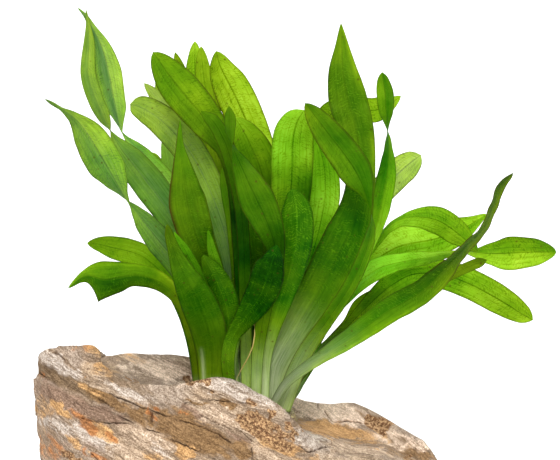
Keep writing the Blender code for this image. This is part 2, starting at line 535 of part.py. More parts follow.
def new_object(name, finish, bm):
    """A named object from a bmesh, with its material."""
    mesh = bpy.data.meshes.new(name)
    bm.to_mesh(mesh)
    bm.free()
    made = bpy.data.objects.new(name, mesh)
    bpy.context.scene.collection.objects.link(made)
    mesh.materials.append(material(finish))
    mesh.shade_smooth()
    return made


def material(finish):
    """The Principled material of a finish, made once."""
    found = bpy.data.materials.get(finish)
    if found:
        return found
    colour, roughness = FINISHES[finish]
    made = bpy.data.materials.new(finish)
    made.use_nodes = True
    shader = made.node_tree.nodes["Principled BSDF"]
    shader.inputs["Base Color"].default_value = (*colour, 1.0)
    shader.inputs["Roughness"].default_value = roughness
    shader.inputs["Metallic"].default_value = 0.0
    return made


def skinned(bm, rows, first_tip=None, last_tip=None):
    """Skins rows of points, each a closed loop. An end is drawn to its tip, or else closed flat.

    Every diagonal starts at an even point of its lower row, a leaf's margin, so that the two
    sides of a twisted blade stay alongside each other. Millimetres in, metres out.
    """
    loops = [[bm.verts.new(Vector(p) * MM) for p in row] for row in rows]
    for first, second in zip(loops, loops[1:]):
        for i in range(len(first)):
            j = (i + 1) % len(first)
            if i % 2 == 0:
                bm.faces.new((first[i], first[j], second[j]))
                bm.faces.new((first[i], second[j], second[i]))
            else:
                bm.faces.new((first[i], first[j], second[i]))
                bm.faces.new((first[j], second[j], second[i]))
    for loop, tip in ((loops[0], first_tip), (loops[-1], last_tip)):
        if tip is None:
            bm.faces.new(loop)
            continue
        point = bm.verts.new(Vector(tip) * MM)
        for i in range(len(loop)):
            bm.faces.new((loop[i], loop[(i + 1) % len(loop)], point))
    bmesh.ops.recalc_face_normals(bm, faces=bm.faces)


def build_leaf(leaf, rings):
    """A leaf: a thin blade with a thicker midrib, drawn out to a point."""
    real = placed(rings)
    real[0, :, 2] = crown_top(real[0, :, 0]) + TOUCH_GAP
    bm = bmesh.new()
    skinned(bm, real[:-1], last_tip=real[-1, 0])
    return new_object(leaf.name, leaf.finish, bm)


def build_crown():
    """The rootstock: a low mound with a scarred side, falling with the hollow it lies in."""
    rows = []
    for inset, lift in ((CROWN_ROUNDING, 0.0), (0.8, 0.9), (0.0, CROWN_ROUNDING),
                        (0.2, 0.65 * CROWN_HEIGHT), (0.9, CROWN_HEIGHT - 0.8),
                        (CROWN_ROUNDING, CROWN_HEIGHT)):
        ring = []
        for i in range(CROWN_SIDES):
            angle = math.tau * i / CROWN_SIDES
            reach = 1.0 / (
                abs(math.cos(angle)) ** CROWN_SQUARENESS + abs(math.sin(angle)) ** CROWN_SQUARENESS
            ) ** (1.0 / CROWN_SQUARENESS)
            scar = CROWN_SCAR_DEPTH * math.cos(CROWN_SCARS * angle + 0.5 * lift)
            x = CROWN_MIDDLE[0] + math.cos(angle) * reach * (CROWN_HALF_LENGTH - inset - scar)
            y = CROWN_MIDDLE[1] + math.sin(angle) * reach * (CROWN_HALF_DEPTH - inset - scar)
            ring.append((x, y, crown_top(x) - CROWN_HEIGHT + lift))
        rows.append(ring)
    bm = bmesh.new()
    skinned(bm, rows)
    return new_object("crown", "crown", bm)


def eased(value, low, high):
    """0 at low, 1 at high, smooth between."""
    t = min(1.0, max(0.0, (value - low) / (high - low)))
    return t * t * (3.0 - 2.0 * t)


def hollow_floor(x, ridge, back):
    """Height of the hollow: level with the crown's underside there, and shallow towards both ends."""
    under_crown = crown_top(x) - CROWN_HEIGHT - TOUCH_GAP
    shallow = 0.92 * min(ridge, back)
    away = eased(abs(x - CROWN_MIDDLE[0]), *HOLLOW_REACH)
    return min(under_crown + (shallow - under_crown) * away, shallow)


def stone_profile(row):
    """One cross-section of the stone: front foot, over the top to the back foot, and the underside."""
    x, ridge, back, back_depth = row
    girth = (1.0 - abs(x / STONE_HALF_LENGTH) ** STONE_PLAN_SQUARENESS) ** (1.0 / STONE_PLAN_SQUARENESS)
    hollow = hollow_floor(x, ridge, back)
    hollow_back = min(HOLLOW_BACK, back_depth - HOLLOW_RIM)
    belly = min(26.0, 0.45 * ridge)
    shoulder = 0.45 * STONE_FRONT_BELLY + 0.55 * STONE_RIDGE_DEPTH
    knots = np.array([
        (STONE_FRONT_FOOT, 0.0),
        (STONE_FRONT_BELLY, belly),
        (shoulder, belly + 0.72 * (ridge - belly)),
        (STONE_RIDGE_DEPTH, ridge),
        (HOLLOW_FRONT, hollow),
        (HOLLOW_FRONT + 4.0, hollow),
        (hollow_back - 4.0, hollow),
        (hollow_back, hollow),
        (back_depth, back),
        (0.35 * back_depth + 0.65 * STONE_BACK_BELLY, 0.74 * back),
        (STONE_BACK_BELLY, min(24.0, 0.45 * back)),
        (STONE_BACK_FOOT, 0.0),
    ])
    knots[:, 0] *= girth
    spans = np.concatenate([[0.0], np.cumsum(np.linalg.norm(np.diff(knots, axis=0), axis=1))])
    profile = smooth_through(spans, knots, np.linspace(0.0, spans[-1], PROFILE_POINTS))
    profile[[0, -1], 1] = 0.0
    under = np.linspace(profile[-1, 0], profile[0, 0], UNDERSIDE_POINTS + 2)[1:-1]
    loop = np.concatenate([profile, np.stack([under, np.zeros_like(under)], axis=1)])
    return [Vector((x, y, z)) for y, z in loop]


def weathered(point, lengthwise):
    """A point of the stone's skin, moved out or in by the worn edges of its beds and by broad lumps.

    lengthwise says how much of the move may go along the stone: little on its flanks, all on its ends.
    """
    if point.z < 1.0:
        return point
    out = point - Vector((0.0, 0.0, 30.0))
    out.x *= lengthwise
    out.normalize()
    warp = BEDDING_WARP * noise.noise(point / 38.0)
    bed = ((point @ BEDDING_NORMAL + warp) / BEDDING_PERIOD) % 1.0
    if bed < BEDDING_LEDGE:
        worn = bed / BEDDING_LEDGE
    else:
        worn = (1.0 - bed) / (1.0 - BEDDING_LEDGE)
    lump = LUMP_HEIGHT * noise.noise(point / LUMP_SIZE + Vector((3.1, 7.7, 1.3)))
    off_crown = max(
        abs(point.x - CROWN_MIDDLE[0]) - CROWN_HALF_LENGTH,
        abs(point.y - CROWN_MIDDLE[1]) - CROWN_HALF_DEPTH,
    )
    fade = eased(off_crown, 0.5, SMOOTH_BY_CROWN) * min(1.0, point.z / 12.0)
    return point + out * fade * (BEDDING_STEP * (worn - 0.55) + lump)


def tapered(point, tallest):
    """A point of the stone drawn in along X towards the foot, as the ends slope inwards."""
    low = max(0.0, 1.0 - point.z / (0.8 * tallest))
    return Vector((point.x * (1.0 - STONE_END_TAPER * low**1.3), point.y, point.z))


def end_rings(section, outward):
    """The rings that close an end of the stone, each smaller and further out, and the last point."""
    middle = sum(section, Vector()) / len(section)
    rings = []
    for scale, reach in END_RINGS:
        ring = []
        for original in section:
            moved = middle.lerp(original, scale) + Vector((outward * reach, 0.0, 0.0))
            moved.z = moved.z if original.z >= 1.0 else 0.0
            ring.append(moved)
        rings.append(ring)
    return rings, middle + Vector((outward * END_REACH, 0.0, 0.0))


def build_stone():
    """The stone: a long ridge in front, a lower one behind, and the hollow that holds the crown."""
    table = np.array(STONE_SECTIONS)
    places = np.linspace(table[0, 0], table[-1, 0], SECTION_COUNT)
    sections = [stone_profile(row) for row in smooth_through(table[:, 0], table, places)]
    left, left_tip = end_rings(sections[0], -1.0)
    right, right_tip = end_rings(sections[-1], 1.0)
    rings = [[weathered(p, 0.25) for p in ring] for ring in sections]
    left = [[weathered(p, 1.0) for p in ring] for ring in left]
    right = [[weathered(p, 1.0) for p in ring] for ring in right]
    rings = [*reversed(left), *rings, *right]
    tallest = table[:, 1].max()
    bm = bmesh.new()
    skinned(
        bm, [[tapered(p, tallest) for p in ring] for ring in rings],
        first_tip=tapered(weathered(left_tip, 1.0), tallest),
        last_tip=tapered(weathered(right_tip, 1.0), tallest),
    )
    return new_object("stone", "stone", bm)


def main():
    for old in list(bpy.data.objects):
        bpy.data.objects.remove(old)
    laid = laid_down(LEAVES)
    for leaf in LEAVES:
        build_leaf(leaf, laid[leaf.name])
    build_crown()
    build_stone()


main()
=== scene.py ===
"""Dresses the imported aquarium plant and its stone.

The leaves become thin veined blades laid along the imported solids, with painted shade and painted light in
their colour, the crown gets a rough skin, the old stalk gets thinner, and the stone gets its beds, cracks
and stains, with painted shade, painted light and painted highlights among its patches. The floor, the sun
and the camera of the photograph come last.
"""

import json
import logging
import math
from dataclasses import dataclass, field
from enum import Enum
from typing import Sequence

import bmesh
import bpy
import numpy as np
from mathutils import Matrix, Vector, noise


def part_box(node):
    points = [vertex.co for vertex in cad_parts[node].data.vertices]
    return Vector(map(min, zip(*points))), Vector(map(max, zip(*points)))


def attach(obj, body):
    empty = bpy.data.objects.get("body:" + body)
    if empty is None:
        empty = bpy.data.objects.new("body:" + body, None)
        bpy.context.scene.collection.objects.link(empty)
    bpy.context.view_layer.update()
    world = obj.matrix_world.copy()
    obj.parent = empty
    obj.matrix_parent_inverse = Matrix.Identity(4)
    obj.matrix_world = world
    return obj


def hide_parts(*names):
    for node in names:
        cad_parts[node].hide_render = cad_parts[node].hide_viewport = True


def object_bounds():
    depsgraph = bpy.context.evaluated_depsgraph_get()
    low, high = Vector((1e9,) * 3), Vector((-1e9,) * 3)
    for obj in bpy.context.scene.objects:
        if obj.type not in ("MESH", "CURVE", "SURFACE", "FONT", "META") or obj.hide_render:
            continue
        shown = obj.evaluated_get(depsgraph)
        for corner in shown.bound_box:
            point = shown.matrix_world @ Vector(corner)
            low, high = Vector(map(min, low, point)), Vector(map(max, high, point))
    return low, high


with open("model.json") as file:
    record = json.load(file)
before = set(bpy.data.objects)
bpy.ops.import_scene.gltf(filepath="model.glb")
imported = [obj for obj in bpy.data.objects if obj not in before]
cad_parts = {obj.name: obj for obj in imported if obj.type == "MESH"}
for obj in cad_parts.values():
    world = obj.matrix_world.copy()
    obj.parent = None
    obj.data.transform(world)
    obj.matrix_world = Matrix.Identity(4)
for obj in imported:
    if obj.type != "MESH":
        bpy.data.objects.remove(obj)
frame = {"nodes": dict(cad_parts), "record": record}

LOG = logging.getLogger("water_plant")

MM = 0.001
BODY = "root"
CAD_BOX = [list(map(float, corner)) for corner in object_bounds()]
SLOTS = {row["node"]: row["material_slot"] for row in frame["record"]["subparts"]}
RIBS_A_HALF = 3
BEDDING = (0.36, -0.30, 0.88)

Socket = bpy.types.NodeSocket
Sockets = bpy.types.bpy_prop_collection
Colour = tuple[float, float, float]
Window = tuple[float, float]
Stops = tuple[tuple[float, Colour], ...]


@dataclass(frozen=True)
class Sight:
    """The photograph's line of sight: a sheet that leans back, seen square on by the camera.

    Lengths are in millimetres. The photograph is 560 pixels wide, at half a millimetre a pixel.
    """

    tilt: float = 8.0
    distance: float = 1100.0
    middle_across: float = 15.0
    middle_up: float = 145.0
    view_width: float = 280.0
    pixel: float = 0.5
    zero_column: float = 250.0
    zero_row: float = 520.0

    def back(self) -> np.ndarray:
        """The direction from the sheet to the camera."""
        lean = math.radians(self.tilt)
        return np.array([0.0, -math.cos(lean), math.sin(lean)])

    def upward(self) -> np.ndarray:
        """The sheet's own upward direction."""
        lean = math.radians(self.tilt)
        return np.array([0.0, math.sin(lean), math.cos(lean)])

    def middle(self) -> np.ndarray:
        """The middle of the view."""
        return np.array([self.middle_across, 0.0, 0.0]) + self.middle_up * self.upward()

    def eye(self) -> np.ndarray:
        """The camera's place."""
        return self.middle() + self.distance * self.back()

    def seen(self, points: np.ndarray) -> np.ndarray:
        """Where points appear on the photograph.

        Args:
            points: places in millimetres, one a row.

        Returns:
            Their pixel columns and rows, one pair a row.
        """
        from_eye = points - self.eye()
        depth = -from_eye @ self.back()
        scale = self.distance / depth
        across = self.middle_across + from_eye[:, 0] * scale
        up = self.middle_up + (from_eye @ self.upward()) * scale
        return np.stack([self.zero_column + across / self.pixel, self.zero_row - up / self.pixel], 1)


SIGHT = Sight()


class NodeWriter:
    """Writes a node tree, with short calls for the nodes that the finishes are made of.

    A value given to a call is another node's socket or a plain number. STEP_RIGHT, STEP_DOWN and
    NODES_A_ROW lay the nodes out, and MIX_INPUTS and MIX_RESULT are the places of a Mix node's
    share, first colour, second colour and result.
    """

    STEP_RIGHT = 180
    STEP_DOWN = 220
    NODES_A_ROW = 12
    MIX_INPUTS = (0, 6, 7)
    MIX_RESULT = 2

    def __init__(self, tree: bpy.types.NodeTree) -> None:
        """Starts on a tree."""
        self.tree = tree
        self.count = 0

    def node(self, kind: str, **settings: object) -> bpy.types.Node:
        """Adds a node.

        Args:
            kind: its type.
            settings: its options by name.

        Returns:
            The node.
        """
        made = self.tree.nodes.new(kind)
        self.count += 1
        row, column = divmod(self.count, self.NODES_A_ROW)
        made.location = (self.STEP_RIGHT * column, -self.STEP_DOWN * row)
        for name, value in settings.items():
            setattr(made, name, value)
        return made

    def join(self, value: object, into: Socket) -> None:
        """Feeds a socket.

        Args:
            value: the socket that feeds it, or a plain value to set it to.
            into: the socket.
        """
        if isinstance(value, bpy.types.NodeSocket):
            self.tree.links.new(value, into)
        else:
            into.default_value = value

    def math(self, operation: str, first: object, second: object = 0.0, clamp: bool = False) -> Socket:
        """Adds a Math node.

        Args:
            operation: what it does.
            first: its first value.
            second: its second value, where it takes one.
            clamp: whether the result is kept from 0 to 1.

        Returns:
            Its result.
        """
        made = self.node("ShaderNodeMath", operation=operation, use_clamp=clamp)
        self.join(first, made.inputs[0])
        self.join(second, made.inputs[1])
        return made.outputs[0]

    def add(self, first: object, second: object) -> Socket:
        """A sum."""
        return self.math("ADD", first, second)

    def minus(self, first: object, second: object) -> Socket:
        """A difference."""
        return self.math("SUBTRACT", first, second)

    def times(self, first: object, second: object) -> Socket:
        """A product."""
        return self.math("MULTIPLY", first, second)

    def absolute(self, value: object) -> Socket:
        """A value without its sign."""
        return self.math("ABSOLUTE", value)

    def larger(self, first: object, second: object) -> Socket:
        """The larger of two values."""
        return self.math("MAXIMUM", first, second)

    def swing(self, value: object) -> Socket:
        """A value from 0 to 1, moved to lie from -0.5 to 0.5."""
        return self.math("SUBTRACT", value, 0.5)

    def total(self, first: object, *others: object) -> Socket:
        """Adds several values.

        Args:
            first: the first value.
            others: the rest, added one by one.

        Returns:
            Their sum.
        """
        for other in others:
            first = self.add(first, other)
        return first

    def between(self, value: object, low: float, high: float) -> Socket:
        """Adds a smooth step.

        Args:
            value: what it reads.
            low: where the step gives 0.
            high: where it gives 1. It may lie below low, and then the step falls.

        Returns:
            The step, from 0 to 1.
        """
        made = self.node("ShaderNodeMapRange", interpolation_type="SMOOTHSTEP")
        start, end, first, last = (low, high, 0.0, 1.0) if low <= high else (high, low, 1.0, 0.0)
        self.join(value, made.inputs["Value"])
        for name, number in (("From Min", start), ("From Max", end), ("To Min", first), ("To Max", last)):
            made.inputs[name].default_value = number
        return made.outputs["Result"]

    def mix(self, share: object, first: object, second: object, blend: str = "MIX") -> Socket:
        """Mixes two colours.

        Args:
            share: how much of the second one there is, 0 to 1.
            first: a socket or a colour.
            second: a socket or a colour.
            blend: how they are mixed.

        Returns:
            The mixed colour.
        """
        made = self.node("ShaderNodeMix", data_type="RGBA", blend_type=blend, clamp_factor=True)
        for value, index in zip((share, first, second), self.MIX_INPUTS):
            if isinstance(value, tuple):
                value = (*value, 1.0)
            self.join(value, made.inputs[index])
        return made.outputs[self.MIX_RESULT]

    def ramp(self, value: object, stops: Stops) -> Socket:
        """Adds a colour ramp.

        Args:
            value: what it reads.
            stops: the place and the colour of each stop.

        Returns:
            The colour.
        """
        made = self.node("ShaderNodeValToRGB")
        elements = made.color_ramp.elements
        while len(elements) < len(stops):
            elements.new(1.0)
        for element, (place, colour) in zip(elements, stops):
            element.position = place
            element.color = (*colour, 1.0)
        self.join(value, made.inputs["Fac"])
        return made.outputs["Color"]

    def noise(self, where: Socket, scale: float, detail: float = 2.0, roughness: float = 0.5) -> Socket:
        """Adds noise.

        Args:
            where: the place.
            scale: its waves to the metre.
            detail: how many finer layers of it there are.
            roughness: how strong the finer layers are.

        Returns:
            The noise, from 0 to 1.
        """
        made = self.node("ShaderNodeTexNoise")
        self.join(where, made.inputs["Vector"])
        made.inputs["Scale"].default_value = scale
        made.inputs["Detail"].default_value = detail
        made.inputs["Roughness"].default_value = roughness
        return made.outputs["Fac"]

    def place(self) -> Socket:
        """The place on the object, in metres."""
        return self.node("ShaderNodeTexCoord").outputs["Object"]

    def attribute(self, name: str) -> Socket:
        """A number that the mesh carries."""
        return self.node("ShaderNodeAttribute", attribute_name=name).outputs["Fac"]

    def effect(self, tree: bpy.types.NodeTree, **values: object) -> Sockets:
        """Places a node group.

        Args:
            tree: the group.
            values: its inputs by name.

        Returns:
            Its outputs.
        """
        made = self.node("ShaderNodeGroup", node_tree=tree)
        for name, value in values.items():
            self.join(value, made.inputs[name])
        return made.outputs

    def bump(self, height: Socket, distance: float) -> Socket:
        """Adds a Bump node.

        Args:
            height: the height, round 0 to 1.
            distance: what a height of 1 is in metres.

        Returns:
            Its normal.
        """
        made = self.node("ShaderNodeBump")
        made.inputs["Distance"].default_value = distance
        self.join(height, made.inputs["Height"])
        return made.outputs["Normal"]


def new_group(name: str, inputs: Sequence[tuple[str, str]], outputs: Sequence[str],
              ) -> tuple[NodeWriter, dict[str, Socket], bpy.types.Node]:
    """Starts a shader node group.

    Args:
        name: the group's name.
        inputs: the name and the socket type of each input.
        outputs: the name of each output. All of them are numbers.

    Returns:
        Its writer, its input sockets by name, and its output node.
    """
    tree = bpy.data.node_groups.new(name, "ShaderNodeTree")
    for label, kind in inputs:
        tree.interface.new_socket(label, in_out="INPUT", socket_type=kind)
    for label in outputs:
        tree.interface.new_socket(label, in_out="OUTPUT", socket_type="NodeSocketFloat")
    writer = NodeWriter(tree)
    entry = writer.node("NodeGroupInput")
    exit_node = writer.node("NodeGroupOutput")
    return writer, {s.name: s for s in entry.outputs if s.name}, exit_node


@dataclass(frozen=True)
class VeinPattern:
    """Long veins from foot to tip, the fine rungs that cross between them, and the grain along them.

    Attributes:
        wander_scale, wander: the waves to the metre of the ribs' course, and how far it strays.
        rib_width: half a rib's width, as a share of the space from rib to rib.
        fading_scale, fading: where the ribs are faint.
        faintest: how strong a faint rib is.
        lean: how far the rungs lean towards the margin, in rungs.
        stagger_turn, stagger: what shifts the rungs of one strip against those of the next.
        crook_scale, crook: how crooked a rung is.
        rung: from where to where a rung fades out.
        break_scale, breaks: where the rungs are broken off.
        midrib: from where to where the midrib fades out.
        streaks_across, streaks_along: how fine the streaks are.
    """

    wander_scale: float = 140.0
    wander: float = 0.12
    rib_width: float = 0.09
    fading_scale: float = 210.0
    fading: Window = (0.35, 0.60)
    faintest: float = 0.20
    lean: float = 2.6
    stagger_turn: float = 12.9
    stagger: float = 3.7
    crook_scale: float = 420.0
    crook: float = 3.2
    rung: Window = (0.17, 0.02)
    break_scale: float = 300.0
    breaks: Window = (0.38, 0.54)
    midrib: Window = (0.07, 0.02)
    streaks_across: float = 12.0
    streaks_along: float = 60.0

    def group(self) -> bpy.types.NodeTree:
        """Writes the pattern.

        Returns:
            Its node group.
        """
        write, given, out = new_group(
            "leaf_veins",
            [("Place", "NodeSocketVector"), ("Across", "NodeSocketFloat"),
             ("Length", "NodeSocketFloat"), ("Ribs", "NodeSocketFloat"), ("Pitch", "NodeSocketFloat")],
            ["Ribs", "Rungs", "Midrib", "Streaks"])
        place, across, from_midrib = given["Place"], given["Across"], write.absolute(given["Across"])
        stray = write.times(write.swing(write.noise(place, self.wander_scale)), self.wander)
        strip = write.times(write.add(across, stray), given["Ribs"])
        rib = write.between(write.math("PINGPONG", strip, 0.5), self.rib_width, 0.0)
        strong = write.between(write.noise(place, self.fading_scale), *self.fading)
        strength = write.add(self.faintest, write.times(strong, 1.0 - self.faintest))
        write.join(write.times(rib, strength), out.inputs["Ribs"])
        turn = write.times(write.math("FLOOR", strip), self.stagger_turn)
        stagger = write.times(write.math("SINE", turn), self.stagger)
        crooked = write.times(write.swing(write.noise(place, self.crook_scale)), self.crook)
        rows = write.math("DIVIDE", given["Length"], given["Pitch"])
        leaning = write.add(rows, write.times(from_midrib, self.lean))
        from_rung = write.math("PINGPONG", write.add(leaning, write.add(stagger, crooked)), 0.5)
        whole = write.between(write.noise(place, self.break_scale, 1.0), *self.breaks)
        write.join(write.times(write.between(from_rung, *self.rung), whole), out.inputs["Rungs"])
        write.join(write.between(from_midrib, *self.midrib), out.inputs["Midrib"])
        lengthwise = write.node("ShaderNodeCombineXYZ")
        write.join(write.times(across, self.streaks_across), lengthwise.inputs["X"])
        write.join(write.times(given["Length"], self.streaks_along), lengthwise.inputs["Y"])
        write.join(write.noise(lengthwise.outputs[0], 1.0, 4.0, 0.6), out.inputs["Streaks"])
        return write.tree


@dataclass(frozen=True)
class Mottle:
    """Soft patches, fine grain and sparse specks, for anything that grew.

    Attributes:
        patch_scale, grain_scale: the waves to the metre of the patches and of the grain.
        speck_scale: the places for a speck to the metre.
        speck: from where to where a speck fades out.
        rarity_scale, rarity: where specks are.
    """

    patch_scale: float = 55.0
    grain_scale: float = 700.0
    speck_scale: float = 260.0
    speck: Window = (0.22, 0.07)
    rarity_scale: float = 120.0
    rarity: Window = (0.52, 0.64)

    def group(self) -> bpy.types.NodeTree:
        """Writes the mottle.

        Returns:
            Its node group.
        """
        write, given, out = new_group(
            "grown_mottle", [("Place", "NodeSocketVector"), ("Scale", "NodeSocketFloat")],
            ["Patches", "Grain", "Specks"])
        sized = write.node("ShaderNodeVectorMath", operation="SCALE")
        write.join(given["Place"], sized.inputs[0])
        write.join(given["Scale"], sized.inputs["Scale"])
        where = sized.outputs["Vector"]
        write.join(write.noise(where, self.patch_scale, 3.0, 0.55), out.inputs["Patches"])
        write.join(write.noise(where, self.grain_scale, 3.0, 0.6), out.inputs["Grain"])
        spots = write.node("ShaderNodeTexVoronoi")
        write.join(where, spots.inputs["Vector"])
        spots.inputs["Scale"].default_value = self.speck_scale
        near = write.between(spots.outputs["Distance"], *self.speck)
        rare = write.between(write.noise(where, self.rarity_scale, 1.0), *self.rarity)
        write.join(write.times(near, rare), out.inputs["Specks"])
        return write.tree


class Effects:
    """The node groups, each made once."""

    def __init__(self) -> None:
        """Makes them."""
        self.veins = VeinPattern().group()
        self.mottle = Mottle().group()


def blank_material(name: str) -> tuple[bpy.types.Material, NodeWriter, bpy.types.Node, bpy.types.Node]:
    """Starts a material.

    Args:
        name: its name.

    Returns:
        The material, its writer, its Principled shader and its output.
    """
    made = bpy.data.materials.new(name)
    made.use_nodes = True
    nodes = made.node_tree.nodes
    return made, NodeWriter(made.node_tree), nodes["Principled BSDF"], nodes["Material Output"]


GREEN_TONES: Stops = (
    (0.00, (0.000, 0.008, 0.000)),
    (0.24, (0.003, 0.047, 0.000)),
    (0.33, (0.008, 0.089, 0.000)),
    (0.42, (0.019, 0.147, 0.000)),
    (0.50, (0.040, 0.212, 0.001)),
    (0.60, (0.088, 0.319, 0.004)),
    (0.70, (0.155, 0.448, 0.006)),
    (0.80, (0.230, 0.604, 0.014)),
    (1.00, (0.380, 0.900, 0.040)),
)
OLIVE_TONES: Stops = (
    (0.00, (0.004, 0.008, 0.000)),
    (0.24, (0.020, 0.047, 0.000)),
    (0.33, (0.045, 0.089, 0.000)),
    (0.42, (0.080, 0.147, 0.001)),
    (0.50, (0.122, 0.212, 0.003)),
    (0.60, (0.195, 0.319, 0.004)),
    (0.70, (0.300, 0.448, 0.010)),
    (0.80, (0.410, 0.604, 0.030)),
    (1.00, (0.640, 0.900, 0.110)),
)
# Bluish greens, also the cooler hue of the painted shade beside the midrib.
COOL_TONES: Stops = (
    (0.00, (0.002, 0.008, 0.003)),
    (0.24, (0.014, 0.045, 0.017)),
    (0.42, (0.052, 0.135, 0.052)),
    (0.60, (0.150, 0.295, 0.135)),
    (0.80, (0.350, 0.580, 0.330)),
    (1.00, (0.600, 0.860, 0.600)),
)


@dataclass(frozen=True)
class LeafFinish:
    """The look of one kind of leaf: a translucent blade with veins, a rusty rim and specks.

    A place across the blade runs from 0 at the midrib to 1 at the margin.

    Attributes:
        slot: the material's slot.
        glow: how much of the light comes through the blade.
        thinness: the gamma of that light, lower for a paler glow.
        gloss: the shader's specular level.
        rim: how brown the margins are, 0 to 1.
        roughness: how rough the blade is between its patches, and patch_roughness what they add.
        rib_shift, rung_shift, midrib_shift, margin_shift: how much lighter these are than the blade.
        vein_light: how much lighter still the rungs get where the blade is dark.
        rib_light: the ribs' part of that.
        dark_tones: the tones between which the blade counts as dark.
        blotching, graininess, streaking: how far patches, grain and streaks change the tone.
        warm_blotching: how far patches change the warmth.
        rib_count: the ribs on each half of the blade.
        rung_pitch: the metres from one rung to the next.
        margin, rust_margin: where across the blade the darker margin and the brown rim rise.
        rim_floor, rim_patches: how brown the rim is without patches, and what they add.
        speck_strength: how brown the specks are.
        foot_streaks: the streaks between which the pale foot gets fully pale.
        foot_floor: how pale it is between the streaks.
        foot_cover: how much less light comes through where the foot is pale.
        petiole, rust: the colours of the pale foot and of what is brown.
        relief: the height of the veins in metres.
    """

    slot: str
    glow: float = 0.55
    thinness: float = 0.65
    gloss: float = 0.04
    rim: float = 0.5
    roughness: float = 0.38
    patch_roughness: float = 0.18
    rib_shift: float = -0.06
    rung_shift: float = -0.08
    midrib_shift: float = -0.08
    margin_shift: float = -0.07
    vein_light: float = 0.15
    rib_light: float = 0.4
    dark_tones: Window = (0.62, 0.40)
    blotching: float = 0.36
    graininess: float = 0.09
    streaking: float = 0.28
    warm_blotching: float = 0.9
    rib_count: float = float(RIBS_A_HALF)
    rung_pitch: float = 0.0016
    margin: Window = (0.80, 0.98)
    rust_margin: Window = (0.90, 0.985)
    rim_floor: float = 0.10
    rim_patches: float = 1.1
    speck_strength: float = 0.65
    foot_streaks: Window = (0.30, 0.62)
    foot_floor: float = 0.40
    foot_cover: float = 0.6
    petiole: Colour = (0.81, 0.85, 0.58)
    rust: Colour = (0.085, 0.045, 0.006)
    relief: float = 0.00012

    def material(self, effects: Effects) -> bpy.types.Material:
        """Writes the material.

        Args:
            effects: the node groups.

        Returns:
            The material.
        """
        made, write, shader, out = blank_material(self.slot)
        where, across = write.place(), write.attribute("across")
        veins = write.effect(effects.veins, Place=where, Across=across,
                             Length=write.attribute("length"), Ribs=self.rib_count,
                             Pitch=self.rung_pitch)
        mottle = write.effect(effects.mottle, Place=where, Scale=1.0)
        from_midrib = write.absolute(across)
        tone = self.tone(write, veins, mottle, from_midrib)
        pale = self.foot(write, veins)
        leafy = write.mix(pale, self.green(write, tone, mottle), self.petiole)
        colour = write.mix(self.worn(write, mottle, from_midrib), leafy, self.rust)
        height = write.total(write.times(veins["Ribs"], -0.6), write.times(veins["Rungs"], 0.5),
                             write.times(mottle["Grain"], 0.5))
        normal = write.bump(height, self.relief)
        write.join(colour, shader.inputs["Base Color"])
        write.join(normal, shader.inputs["Normal"])
        rough = write.add(self.roughness, write.times(mottle["Patches"], self.patch_roughness))
        write.join(rough, shader.inputs["Roughness"])
        shader.inputs["Specular IOR Level"].default_value = self.gloss
        through = self.shine(write, colour, normal)
        both = write.node("ShaderNodeMixShader")
        thin = write.minus(1.0, write.times(pale, self.foot_cover))
        write.join(write.times(thin, self.glow), both.inputs["Fac"])
        write.join(shader.outputs["BSDF"], both.inputs[1])
        write.join(through, both.inputs[2])
        write.join(both.outputs["Shader"], out.inputs["Surface"])
        return made

    def tone(self, write: NodeWriter, veins: Sockets, mottle: Sockets, from_midrib: Socket) -> Socket:
        """Writes how light the blade is.

        Args:
            write: the material's writer.
            veins: the outputs of the veins.
            mottle: the outputs of the mottle.
            from_midrib: the place across the blade.

        Returns:
            A place on the ramps of tones.
        """
        tone = write.total(write.attribute("tone"),
                           write.times(write.swing(mottle["Patches"]), self.blotching),
                           write.times(write.swing(mottle["Grain"]), self.graininess),
                           write.times(write.swing(veins["Streaks"]), self.streaking))
        lighter = write.times(write.between(tone, *self.dark_tones), self.vein_light)
        ribs = write.add(self.rib_shift, write.times(lighter, self.rib_light))
        rungs = write.add(self.rung_shift, lighter)
        margin = write.between(from_midrib, *self.margin)
        return write.total(tone, write.times(veins["Ribs"], ribs), write.times(veins["Rungs"], rungs),
                           write.times(veins["Midrib"], self.midrib_shift),
                           write.times(margin, self.margin_shift))

    def green(self, write: NodeWriter, tone: Socket, mottle: Sockets) -> Socket:
        """Writes the blade's green: olive where its warmth is high, bluish where it is below 0.

        Args:
            write: the material's writer.
            tone: the place on the ramps of tones.
            mottle: the outputs of the mottle.

        Returns:
            The colour.
        """
        given = write.attribute("warmth")
        warmth = write.add(given, write.times(write.swing(mottle["Patches"]), self.warm_blotching))
        leafy = write.mix(warmth, write.ramp(tone, GREEN_TONES), write.ramp(tone, OLIVE_TONES))
        return write.mix(write.times(given, -1.0), leafy, write.ramp(tone, COOL_TONES))

    def foot(self, write: NodeWriter, veins: Sockets) -> Socket:
        """Writes how pale the foot is, with the painted highlight streak above it.

        Args:
            write: the material's writer.
            veins: the outputs of the veins.

        Returns:
            The share of the petiole's colour.
        """
        streaks = write.add(veins["Streaks"], write.times(veins["Ribs"], 0.2))
        streaks = write.times(write.between(streaks, *self.foot_streaks), 1.0 - self.foot_floor)
        return write.times(write.attribute("pale"), write.add(self.foot_floor, streaks))

    def worn(self, write: NodeWriter, mottle: Sockets, from_midrib: Socket) -> Socket:
        """Writes where the blade is brown: at its rim, where the mesh says so, and in specks.

        Args:
            write: the material's writer.
            mottle: the outputs of the mottle.
            from_midrib: the place across the blade.

        Returns:
            The share of the rust's colour.
        """
        patches = write.add(self.rim_floor, write.times(mottle["Patches"], self.rim_patches))
        rim = write.times(write.between(from_midrib, *self.rust_margin), patches)
        worn = write.larger(write.times(rim, self.rim), write.attribute("rust"))
        specks = write.times(mottle["Specks"], self.speck_strength)
        return write.math("MAXIMUM", worn, specks, clamp=True)

